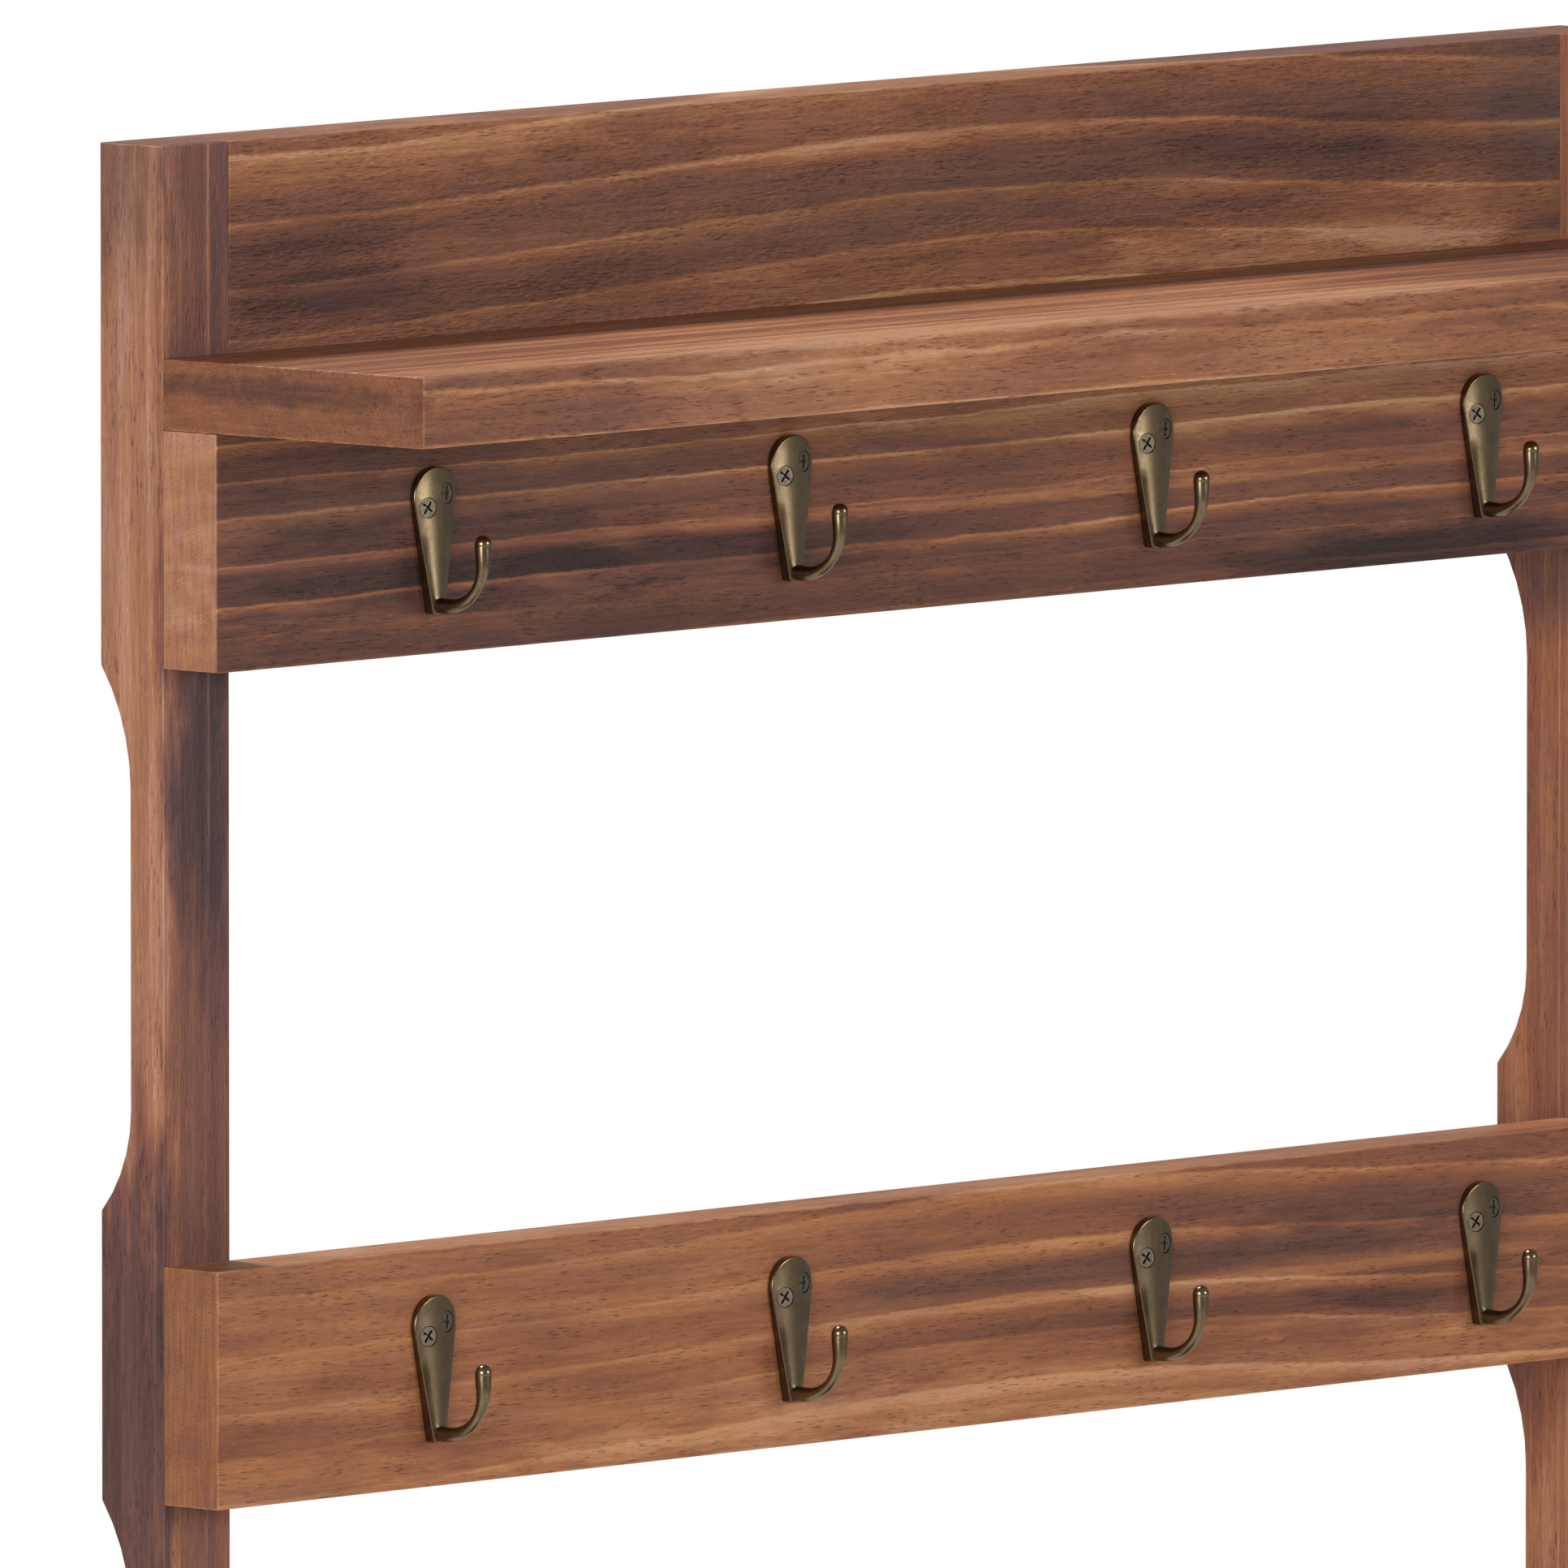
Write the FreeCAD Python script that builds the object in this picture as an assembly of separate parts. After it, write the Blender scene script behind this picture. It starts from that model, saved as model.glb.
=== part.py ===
"""A hall tree with hooks: two tall posts, a top shelf, two hook rails and a slatted bench.

Millimetres. +X is the object's right, +Y is its back and +Z is up. The origin lies on the
floor, under the middle of the overall width and depth.
"""
import FreeCAD, Part
import math
import os

Vector = FreeCAD.Vector

# Overall sizes
WIDTH = 762.0
HEIGHT = 1700.0
SEAT_HEIGHT = 450.0
SHOE_SHELF_HEIGHT = 160.0

# Posts, with the hollows cut in their back edges
POST_WIDTH = 33.4
POST_DEPTH = 29.5
HOLLOW_DEPTH = 13.8
HOLLOW_TOP_RISE = 43.0
HOLLOW_FOOT_RISE = 35.5
HOLLOW_FOOT_MARGIN = 17.8
EDGE_ROUND = 0.5

# Top shelf and hook rails
SHELF_DROP = 73.2
SHELF_THICKNESS = 24.6
SHELF_DEPTH = 121.9
RAIL_THICKNESS = 25.2
RAIL_HEIGHT = 82.5
RAIL_GAP = 206.5

# Places of the hooks along a rail: the outer ones from the rail's ends, the inner ones from
# the middle of the object; and how far each row hangs below the top of its rail
HOOK_LEFT_MARGIN = 108.6
HOOK_RIGHT_MARGIN = 105.4
HOOK_INNER_LEFT = -88.9
HOOK_INNER_RIGHT = 100.3
UPPER_HOOK_DROP = 17.5
LOWER_HOOK_DROP = 15.8

# One hook: a crowned tapering plate with a single round prong
HOOK_HEIGHT = 51.0
HOOK_HEAD_RADIUS = 10.4
HOOK_FOOT_HALF_WIDTH = 2.9
HOOK_HEAD_THICKNESS = 3.3
HOOK_FOOT_THICKNESS = 4.7
HOOK_HEAD_CROWN = 40.0
HOOK_FOOT_CROWN = 5.0
HOOK_EDGE_ROUND = 0.45
HOOK_FOOT_ROUND = 1.2
PRONG_AXIS_HEIGHT = 2.9
PRONG_RUN = 8.2
PRONG_BEND_RADIUS = 16.1
PRONG_TIP_HEIGHT = 25.4
PRONG_ROOT_RADIUS = 2.8
PRONG_WAIST_RADIUS = 1.85
PRONG_WAIST_PLACE = 0.56
PRONG_TIP_RADIUS = 2.95
PRONG_END_RADIUS = 2.88
PRONG_STATIONS = 10

# The two screws of a hook: place across the plate, drop below the plate's top, and turn;
# how far their heads sit under the crowned front, and the width and depth of the groove around
# each head
HOOK_SCREWS = ((-4.9, 14.0, 45.0), (4.9, 9.5, 4.0))
HOOK_SCREW_SINK = 0.3
HOOK_SCREW_GROOVE_WIDTH = 0.27
HOOK_SCREW_GROOVE_DEPTH = 0.5

# Bench
SEAT_THICKNESS = 22.0
SEAT_BOARD_WIDTH = 82.5
SEAT_BOARD_GAP = 6.0
SEAT_BOARDS = 4
LEG_SETBACK = 8.0
APRON_THICKNESS = 22.0
APRON_HEIGHT = 60.0
BEARER_HEIGHT = 40.0
CLEAT_SIDE = 18.0
CLEAT_END_GAP = 3.0
SHOE_RAIL_HEIGHT = 40.0
SLAT_THICKNESS = 16.0
SLAT_WIDTH = 60.0
SLATS = 4
BATTEN_WIDTH = 40.0
BATTEN_THICKNESS = 16.0
BATTEN_END_GAP = 6.0

# Fasteners
DOWEL_RADIUS = 4.0
DOWEL_LENGTH = 30.0
DOWEL_END_ROOM = 1.0
DOWEL_EDGE_INSET = 16.0
SHOE_RAIL_DOWEL_INSET = 11.0
SIDE_DOWEL_OFFSET = 4.0
BOLT_RADIUS = 3.0
BOLT_REACH = 29.0
BOLT_HEAD_RADIUS = 7.5
BOLT_HEAD_THICKNESS = 2.6
BOLT_HEAD_ROUND = 0.65
BOLT_HEAD_RECESS = 3.0
BOLT_SOCKET_RADIUS = 2.3
BOLT_HOLE_CLEARANCE = 0.5
NUT_RADIUS = 5.0
NUT_INSET = 2.0
NUT_SLOT_WIDTH = 1.2
NUT_SLOT_DEPTH = 1.5
NUT_END_ROOM = 5.0
FRAME_SCREW_RADIUS = 2.0
FRAME_SCREW_HEAD_RADIUS = 4.0
RAIL_SCREW_SPACING = 45.0
RAIL_SCREW_BITE = 16.0
SHELF_SCREW_INSET = 150.0
SHELF_SCREW_BITE = 40.0
BENCH_SCREW_RADIUS = 1.8
BENCH_SCREW_HEAD_RADIUS = 3.6
CLEAT_SCREW_INSET = 30.0
CLEAT_SCREW_BITE = 14.0
SEAT_SCREW_BITE = 14.0
SLAT_SCREW_BITE = 16.0
BATTEN_SCREW_BITE = 10.0
HOOK_SCREW_RADIUS = 1.5
HOOK_SCREW_HEAD_RADIUS = 3.4
HOOK_SCREW_LENGTH = 16.0

# How far the screw of the front and of the back seat board stands before the cleat's own screw
FRONT_SEAT_SCREW_OFFSET = 6.0
BACK_SEAT_SCREW_OFFSET = 12.75

# Foot glides
GLIDE_RADIUS = 11.0
GLIDE_THICKNESS = 4.0
GLIDE_ROUND = 1.2
GLIDE_STEM_RADIUS = 3.0
GLIDE_STEM_LENGTH = 12.0

# Places that follow from the sizes above
SEAT_DEPTH = SEAT_BOARDS * SEAT_BOARD_WIDTH + (SEAT_BOARDS - 1) * SEAT_BOARD_GAP
BACK = (POST_DEPTH + SEAT_DEPTH) / 2
POST_FRONT = BACK - POST_DEPTH
SEAT_FRONT = POST_FRONT - SEAT_DEPTH
POST_MIDDLE_Y = (BACK + POST_FRONT) / 2
RIGHT = WIDTH / 2
INNER_RIGHT = RIGHT - POST_WIDTH
POST_MIDDLE_X = (RIGHT + INNER_RIGHT) / 2
SHELF_TOP = HEIGHT - SHELF_DROP
SHELF_UNDERSIDE = SHELF_TOP - SHELF_THICKNESS
UPPER_RAIL_TOP = SHELF_UNDERSIDE
LOWER_RAIL_TOP = UPPER_RAIL_TOP - RAIL_HEIGHT - RAIL_GAP
RAIL_FRONT = POST_FRONT - RAIL_THICKNESS
SEAT_UNDERSIDE = SEAT_HEIGHT - SEAT_THICKNESS
APRON_BOTTOM = SEAT_UNDERSIDE - APRON_HEIGHT
LEG_FRONT = SEAT_FRONT + LEG_SETBACK
LEG_BACK = LEG_FRONT + POST_DEPTH
LEG_MIDDLE_Y = (LEG_FRONT + LEG_BACK) / 2
SHOE_RAIL_TOP = SHOE_SHELF_HEIGHT - SLAT_THICKNESS
BOLT_LENGTH = POST_WIDTH + BOLT_REACH
SIDES = (("left", -1), ("right", 1))


class Screw:
    """A countersunk cross-head wood screw of one size."""

    TIP_SHARE = 1.6
    ARM_WIDTH_SHARE = 0.26
    ARM_LENGTH_SHARE = 1.6
    RECESS_SHARE = 0.28

    def __init__(self, length, shank_radius, head_radius):
        self.length = length
        self.shank_radius = shank_radius
        self.head_radius = head_radius

    def blank(self):
        """The screw without its cross recess: the head's face at z = 0, the tip below."""
        cone = self.head_radius - self.shank_radius
        tip = self.length - self.TIP_SHARE * self.shank_radius
        outline = [
            Vector(0, 0, 0),
            Vector(self.head_radius, 0, 0),
            Vector(self.shank_radius, 0, -cone),
            Vector(self.shank_radius, 0, -tip),
            Vector(0, 0, -self.length),
            Vector(0, 0, 0),
        ]
        return Part.Face(Part.makePolygon(outline)).revolve(Vector(0, 0, 0), Vector(0, 0, 1), 360)

    def recess(self):
        """A cross of two tapering slots that cuts into the head's face."""
        depth = self.RECESS_SHARE * self.head_radius
        width = self.ARM_WIDTH_SHARE * self.head_radius
        length = self.ARM_LENGTH_SHARE * self.head_radius
        arm = tapered_slot(length, width, depth)
        crossing = arm.copy()
        crossing.rotate(Vector(0, 0, 0), Vector(0, 0, 1), 90)
        return arm.fuse(crossing)

    def solid(self):
        return self.blank().cut(self.recess())


def frame_screw(length):
    return Screw(length, FRAME_SCREW_RADIUS, FRAME_SCREW_HEAD_RADIUS)


def bench_screw(length):
    return Screw(length, BENCH_SCREW_RADIUS, BENCH_SCREW_HEAD_RADIUS)


HOOK_SCREW = Screw(HOOK_SCREW_LENGTH, HOOK_SCREW_RADIUS, HOOK_SCREW_HEAD_RADIUS)
RAIL_SCREW = frame_screw(POST_DEPTH + RAIL_SCREW_BITE)
SHELF_SCREW = frame_screw(POST_DEPTH + SHELF_SCREW_BITE)
CLEAT_SCREW = bench_screw(CLEAT_SIDE + CLEAT_SCREW_BITE)
SEAT_SCREW = bench_screw(CLEAT_SIDE + SEAT_SCREW_BITE)
SLAT_SCREW = bench_screw(SLAT_THICKNESS + SLAT_SCREW_BITE)
BATTEN_SCREW = bench_screw(SLAT_THICKNESS + BATTEN_SCREW_BITE)


def tapered_slot(length, width, depth):
    """A slot along X, open at z = 0, that narrows towards its floor."""
    above = 0.2
    floor_length_share = 0.7
    floor_width_share = 0.8

    def rectangle(size_x, size_y, z):
        corner = Vector(-size_x / 2, -size_y / 2, z)
        return Part.makePolygon([
            corner,
            corner + Vector(size_x, 0, 0),
            corner + Vector(size_x, size_y, 0),
            corner + Vector(0, size_y, 0),
            corner,
        ])

    mouth = rectangle(length, width, above)
    floor = rectangle(length * floor_length_share, width * floor_width_share, -depth)
    return Part.makeLoft([mouth, floor], True, True)


def placed(shape, point, direction, turn=0.0):
    """A copy of a shape made down from the origin, moved to a point and aimed along a direction."""
    moved = shape.copy()
    moved.rotate(Vector(0, 0, 0), Vector(0, 0, 1), turn)
    aim = FreeCAD.Rotation(Vector(0, 0, -1), direction)
    moved.Placement = FreeCAD.Placement(point, aim).multiply(moved.Placement)
    return moved


def timber(x, y, z):
    """A straight piece of timber between pairs of x, y and z, with softened edges."""
    low = Vector(min(x), min(y), min(z))
    box = Part.makeBox(max(x) - low.x, max(y) - low.y, max(z) - low.z, low)
    return box.makeFillet(EDGE_ROUND, box.Edges)


def flat_edges(solid, z):
    """The edges of a solid that lie flat at a height."""
    near = 0.01
    return [e for e in solid.Edges if all(abs(v.Z - z) < near for v in e.Vertexes)]


def cut_from(pieces, names, tools):
    """Cut the tools from each of the named pieces."""
    for name in names:
        pieces[name] = pieces[name].cut(tools)


# ---------------------------------------------------------------- posts and legs


def hollow_arc(straight_z, shoulder_z):
    """An arc from the end of a hollow's straight edge out to its shoulder on the back edge."""
    floor_y = BACK - HOLLOW_DEPTH
    rise = shoulder_z - straight_z
    radius = (rise * rise + HOLLOW_DEPTH ** 2) / (2 * HOLLOW_DEPTH)
    half_turn = math.asin(abs(rise) / radius) / 2
    middle = Vector(
        0,
        floor_y + radius * (1 - math.cos(half_turn)),
        straight_z + math.copysign(radius * math.sin(half_turn), rise),
    )
    return Part.Arc(Vector(0, floor_y, straight_z), middle, Vector(0, BACK, shoulder_z))


def post_hollows():
    """The top and bottom of each hollow, from the highest down."""
    upper_rail_bottom = UPPER_RAIL_TOP - RAIL_HEIGHT
    lower_rail_bottom = LOWER_RAIL_TOP - RAIL_HEIGHT
    return (
        (upper_rail_bottom, LOWER_RAIL_TOP + HOLLOW_FOOT_MARGIN),
        (lower_rail_bottom, SEAT_HEIGHT + HOLLOW_FOOT_MARGIN),
    )


def post(side):
    """A full-height post: a straight front and a back edge with two hollows."""
    edges = []
    last = Vector(0, BACK, HEIGHT)

    def line_to(point):
        nonlocal last
        edges.append(Part.LineSegment(last, point).toShape())
        last = point

    for top, bottom in post_hollows():
        top_arc = hollow_arc(top - HOLLOW_TOP_RISE, top)
        foot_arc = hollow_arc(bottom + HOLLOW_FOOT_RISE, bottom)
        line_to(Vector(0, BACK, top))
        edges.append(top_arc.toShape())
        last = Vector(0, BACK - HOLLOW_DEPTH, top - HOLLOW_TOP_RISE)
        line_to(Vector(0, BACK - HOLLOW_DEPTH, bottom + HOLLOW_FOOT_RISE))
        edges.append(foot_arc.toShape())
        last = Vector(0, BACK, bottom)
    line_to(Vector(0, BACK, GLIDE_THICKNESS))
    line_to(Vector(0, POST_FRONT, GLIDE_THICKNESS))
    line_to(Vector(0, POST_FRONT, HEIGHT))
    line_to(Vector(0, BACK, HEIGHT))

    outline = Part.Wire(Part.__sortEdges__(edges))
    solid = Part.Face(outline).extrude(Vector(POST_WIDTH, 0, 0))
    solid.translate(Vector(-RIGHT if side < 0 else INNER_RIGHT, 0, 0))
    return solid.makeFillet(EDGE_ROUND, solid.Edges)


def front_leg(side):
    x = (side * INNER_RIGHT, side * RIGHT)
    return timber(x, (LEG_FRONT, LEG_BACK), (GLIDE_THICKNESS, SEAT_UNDERSIDE))


def uprights():
    pieces = {}
    for name, side in SIDES:
        pieces[f"{name}_post"] = post(side)
        pieces[f"{name}_front_leg"] = front_leg(side)
    return pieces


# ---------------------------------------------------------------- top board, shelf and rails


def upper_boards():
    full = (-RIGHT, RIGHT)
    inner = (-INNER_RIGHT, INNER_RIGHT)
    rail_y = (RAIL_FRONT, POST_FRONT)
    return {
        "top_board": timber(inner, (POST_FRONT, BACK), (SHELF_UNDERSIDE, HEIGHT)),
        "top_shelf": timber(full, (POST_FRONT - SHELF_DEPTH, POST_FRONT), (SHELF_UNDERSIDE, SHELF_TOP)),
        "upper_hook_rail": timber(full, rail_y, (UPPER_RAIL_TOP - RAIL_HEIGHT, UPPER_RAIL_TOP)),
        "lower_hook_rail": timber(full, rail_y, (LOWER_RAIL_TOP - RAIL_HEIGHT, LOWER_RAIL_TOP)),
    }


# ---------------------------------------------------------------- hooks


def hook_outline():
    """The plate's outline in the XZ plane: a round head and straight sides down to the foot."""
    centre_z = HOOK_HEIGHT - HOOK_HEAD_RADIUS
    foot = HOOK_FOOT_HALF_WIDTH
    reach = math.hypot(foot, centre_z)
    towards_foot = math.atan2(-centre_z, foot)
    tangent = towards_foot + math.acos(HOOK_HEAD_RADIUS / reach)
    touch_x = HOOK_HEAD_RADIUS * math.cos(tangent)
    touch_z = centre_z + HOOK_HEAD_RADIUS * math.sin(tangent)
    left = Vector(-touch_x, 0, touch_z)
    right = Vector(touch_x, 0, touch_z)
    head = Part.Arc(right, Vector(0, 0, HOOK_HEIGHT), left).toShape()
    sides = Part.makePolygon([left, Vector(-foot, 0, 0), Vector(foot, 0, 0), right])
    return Part.Wire([head] + sides.Edges)


def crown_front(height):
    """The distance from the plate's back to the middle of its front, at a height."""
    share = height / HOOK_HEIGHT
    return HOOK_FOOT_THICKNESS + (HOOK_HEAD_THICKNESS - HOOK_FOOT_THICKNESS) * share


def crown_radius(height):
    """The radius of the plate's crowned front across its width, at a height."""
    return HOOK_FOOT_CROWN + (HOOK_HEAD_CROWN - HOOK_FOOT_CROWN) * height / HOOK_HEIGHT


def crown_cone():
    """A leaning cone whose front line is the middle of the plate's crowned front."""
    share_of_way_to_apex = 0.8
    low = Vector(0, crown_radius(0) - crown_front(0), 0)
    high = Vector(0, crown_radius(HOOK_HEIGHT) - crown_front(HOOK_HEIGHT), HOOK_HEIGHT)
    axis = (high - low).normalize()
    across = Vector(0, -axis.z, axis.y)
    front_low = Vector(0, -crown_front(0), 0)
    front = (Vector(0, -crown_front(HOOK_HEIGHT), HOOK_HEIGHT) - front_low).normalize()

    def radius_at(point):
        """The distance from an axis point, square to the axis, to the front line."""
        offset = front_low - point
        along = -offset.dot(axis) / front.dot(axis)
        return (offset + front * along).dot(across)

    low_radius = radius_at(low)
    grow = (radius_at(high) - low_radius) / (high - low).Length
    start = share_of_way_to_apex * low_radius / grow
    length = start + (high - low).Length
    return Part.makeCone(low_radius - start * grow, radius_at(high), length, low - axis * start, axis)


def hook_plate():
    """The plate, back on y = 0 and foot on z = 0."""
    blank = Part.Face(hook_outline()).extrude(Vector(0, -2 * HOOK_FOOT_THICKNESS, 0))
    foot_corners = [
        edge for edge in blank.Edges
        if edge.BoundBox.ZMax < HOOK_FOOT_ROUND and edge.BoundBox.YLength > HOOK_FOOT_THICKNESS
    ]
    plate = blank.makeFillet(HOOK_FOOT_ROUND, foot_corners).common(crown_cone())
    front_edges = [e for e in plate.Edges if max(v.Y for v in e.Vertexes) < -HOOK_EDGE_ROUND]
    return plate.makeFillet(HOOK_EDGE_ROUND, front_edges)


def eased(share):
    """A smooth change from 0 to 1."""
    return (1 - math.cos(math.pi * share)) / 2


def prong_radius(share):
    """The prong's radius at a share of its length: it thins to a waist and swells to its tip."""
    if share < PRONG_WAIST_PLACE:
        slimmer = PRONG_ROOT_RADIUS - PRONG_WAIST_RADIUS
        return PRONG_ROOT_RADIUS - slimmer * eased(share / PRONG_WAIST_PLACE)
    swell = PRONG_END_RADIUS - PRONG_WAIST_RADIUS
    return PRONG_WAIST_RADIUS + swell * eased((share - PRONG_WAIST_PLACE) / (1 - PRONG_WAIST_PLACE))


def prong_point(distance, start):
    """The point and direction at a distance along the prong: out, round the bend and up."""
    run = PRONG_RUN - start
    bend = PRONG_BEND_RADIUS * math.pi / 2
    if distance <= run:
        return Vector(0, -(start + distance), PRONG_AXIS_HEIGHT), Vector(0, -1, 0)
    if distance <= run + bend:
        turn = (distance - run) / PRONG_BEND_RADIUS
        point = Vector(
            0,
            -(PRONG_RUN + PRONG_BEND_RADIUS * math.sin(turn)),
            PRONG_AXIS_HEIGHT + PRONG_BEND_RADIUS * (1 - math.cos(turn)),
        )
        return point, Vector(0, -math.cos(turn), math.sin(turn))
    rise = distance - run - bend
    top_y = -(PRONG_RUN + PRONG_BEND_RADIUS)
    return Vector(0, top_y, PRONG_AXIS_HEIGHT + PRONG_BEND_RADIUS + rise), Vector(0, 0, 1)


def hook_prong():
    """A round prong of changing thickness, with a ball at its tip."""
    start = 1.5
    bend = PRONG_BEND_RADIUS * math.pi / 2
    rise = PRONG_TIP_HEIGHT - PRONG_AXIS_HEIGHT - PRONG_BEND_RADIUS
    length = PRONG_RUN - start + bend + rise
    sections = []
    for station in range(PRONG_STATIONS + 1):
        share = station / PRONG_STATIONS
        point, direction = prong_point(share * length, start)
        circle = Part.Circle(point, direction, prong_radius(share))
        sections.append(Part.Wire([circle.toShape()]))
    rod = Part.makeLoft(sections, True, False)
    tip, _ = prong_point(length, start)
    return rod.fuse(Part.makeSphere(PRONG_TIP_RADIUS, tip))


def hook_screw_frames():
    """The head centre, direction and turn of each screw of a hook, in the hook's own frame."""
    frames = []
    for x, drop, turn in HOOK_SCREWS:
        height = HOOK_HEIGHT - drop
        crown = crown_radius(height)
        lean = math.asin(x / crown)
        surface = Vector(x, crown * (1 - math.cos(lean)) - crown_front(height), height)
        inward = Vector(-math.sin(lean), math.cos(lean), 0)
        frames.append((surface + inward * HOOK_SCREW_SINK, inward, turn))
    return frames


def hook_feet():
    """The name and foot point of each hook, on the fronts of the rails."""
    places = (
        -RIGHT + HOOK_LEFT_MARGIN,
        HOOK_INNER_LEFT,
        HOOK_INNER_RIGHT,
        RIGHT - HOOK_RIGHT_MARGIN,
    )
    rows = (
        ("upper", UPPER_RAIL_TOP - UPPER_HOOK_DROP - HOOK_HEIGHT),
        ("lower", LOWER_RAIL_TOP - LOWER_HOOK_DROP - HOOK_HEIGHT),
    )
    return [
        (row, f"{row}_hook_{number}", Vector(x, RAIL_FRONT, z))
        for row, z in rows
        for number, x in enumerate(places, 1)
    ]


def hooks_and_screws(pieces):
    """All hooks and their screws, with the holes that the screws need in plates and rails."""
    plain_hook = hook_plate().fuse(hook_prong()).removeSplitter()
    frames = hook_screw_frames()
    blanks = [placed(HOOK_SCREW.blank(), *frame) for frame in frames]
    screws = [placed(HOOK_SCREW.solid(), *frame) for frame in frames]
    mouth = Part.makeCylinder(
        HOOK_SCREW.head_radius + HOOK_SCREW_GROOVE_WIDTH,
        HOOK_HEAD_THICKNESS,
        Vector(0, 0, -HOOK_SCREW_GROOVE_DEPTH),
    )
    mouths = [placed(mouth, *frame) for frame in frames]
    drilled_hook = plain_hook.cut(blanks + mouths)
    row_screws = {"upper": [], "lower": []}
    for row, name, foot in hook_feet():
        pieces[name] = drilled_hook.translated(foot)
        row_screws[row] += [screw.translated(foot) for screw in screws]
        cut_from(pieces, [f"{row}_hook_rail"], [blank.translated(foot) for blank in blanks])
    for row, screws in row_screws.items():
        pieces[f"{row}_hook_screws"] = Part.makeCompound(screws)


# ---------------------------------------------------------------- bench


def bench_frame():
    """Aprons under the seat, and the bearer under its middle."""
    half = APRON_THICKNESS / 2
    apron_z = (APRON_BOTTOM, SEAT_UNDERSIDE)
    inner = (-INNER_RIGHT, INNER_RIGHT)
    pieces = {
        "front_apron": timber(inner, (LEG_MIDDLE_Y - half, LEG_MIDDLE_Y + half), apron_z),
        "back_apron": timber(
            inner,
            (POST_MIDDLE_Y - half, POST_MIDDLE_Y + half),
            (APRON_BOTTOM, SEAT_HEIGHT),
        ),
        "seat_bearer": timber(
            (-half, half),
            (LEG_MIDDLE_Y + half, POST_MIDDLE_Y - half),
            (SEAT_UNDERSIDE - BEARER_HEIGHT, SEAT_UNDERSIDE),
        ),
    }
    for name, side in SIDES:
        x = (side * (POST_MIDDLE_X - half), side * (POST_MIDDLE_X + half))
        y = (LEG_BACK, POST_FRONT)
        pieces[f"{name}_side_apron"] = timber(x, y, apron_z)
        pieces[f"{name}_shoe_rail"] = timber(x, y, (SHOE_RAIL_TOP - SHOE_RAIL_HEIGHT, SHOE_RAIL_TOP))
        inner_face = POST_MIDDLE_X - half
        pieces[f"{name}_seat_cleat"] = timber(
            (side * (inner_face - CLEAT_SIDE), side * inner_face),
            (LEG_BACK + CLEAT_END_GAP, POST_FRONT - CLEAT_END_GAP),
            (SEAT_UNDERSIDE - CLEAT_SIDE, SEAT_UNDERSIDE),
        )
    return pieces


def seat_board_spans():
    """The back and front of each seat board, from the back one forward."""
    pitch = SEAT_BOARD_WIDTH + SEAT_BOARD_GAP
    return [(POST_FRONT - i * pitch - SEAT_BOARD_WIDTH, POST_FRONT - i * pitch) for i in range(SEAT_BOARDS)]


def slat_spans():
    """The front and back of each shoe-shelf slat, evenly spread between leg and post."""
    room = POST_FRONT - LEG_BACK
    gap = (room - SLATS * SLAT_WIDTH) / (SLATS + 1)
    starts = [POST_FRONT - (i + 1) * (gap + SLAT_WIDTH) for i in range(SLATS)]
    return [(start, start + SLAT_WIDTH) for start in starts]


def bench_boards():
    pieces = {}
    full = (-RIGHT, RIGHT)
    for number, span in enumerate(seat_board_spans(), 1):
        pieces[f"seat_board_{number}"] = timber(full, span, (SEAT_UNDERSIDE, SEAT_HEIGHT))
    for number, span in enumerate(slat_spans(), 1):
        pieces[f"shoe_slat_{number}"] = timber(full, span, (SHOE_RAIL_TOP, SHOE_SHELF_HEIGHT))
    pieces["shoe_shelf_batten"] = timber(
        (-BATTEN_WIDTH / 2, BATTEN_WIDTH / 2),
        (LEG_BACK + BATTEN_END_GAP, POST_FRONT - BATTEN_END_GAP),
        (SHOE_RAIL_TOP - BATTEN_THICKNESS, SHOE_RAIL_TOP),
    )
    return pieces


# ---------------------------------------------------------------- fasteners


def fit_screws(pieces, name, screw, seats):
    """Make one node of screws; each seat is (head point, direction, pieces it passes)."""
    solids = []
    for point, direction, passed in seats:
        solids.append(placed(screw.solid(), point, direction))
        cut_from(pieces, passed, [placed(screw.blank(), point, direction)])
    pieces[name] = Part.makeCompound(solids)


def fit_dowels(pieces, name, joints):
    """Make one node of dowels; each joint is (point on the joint face, axis, the two pieces)."""
    solids = []
    for point, axis, joined in joints:
        half = DOWEL_LENGTH / 2
        room = half + DOWEL_END_ROOM
        solids.append(Part.makeCylinder(DOWEL_RADIUS, DOWEL_LENGTH, point - axis * half, axis))
        hole = Part.makeCylinder(DOWEL_RADIUS, 2 * room, point - axis * room, axis)
        cut_from(pieces, joined, [hole])
    pieces[name] = Part.makeCompound(solids)


def inset_pair(low, high, inset=DOWEL_EDGE_INSET):
    """Two heights, each that far inside the ends of a joint."""
    return low + inset, high - inset


def top_dowels(pieces):
    joints = []
    for name, side in SIDES:
        for z in inset_pair(SHELF_TOP, HEIGHT):
            point = Vector(side * INNER_RIGHT, POST_MIDDLE_Y, z)
            joints.append((point, Vector(1, 0, 0), ["top_board", f"{name}_post"]))
    fit_dowels(pieces, "top_board_dowels", joints)


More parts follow.
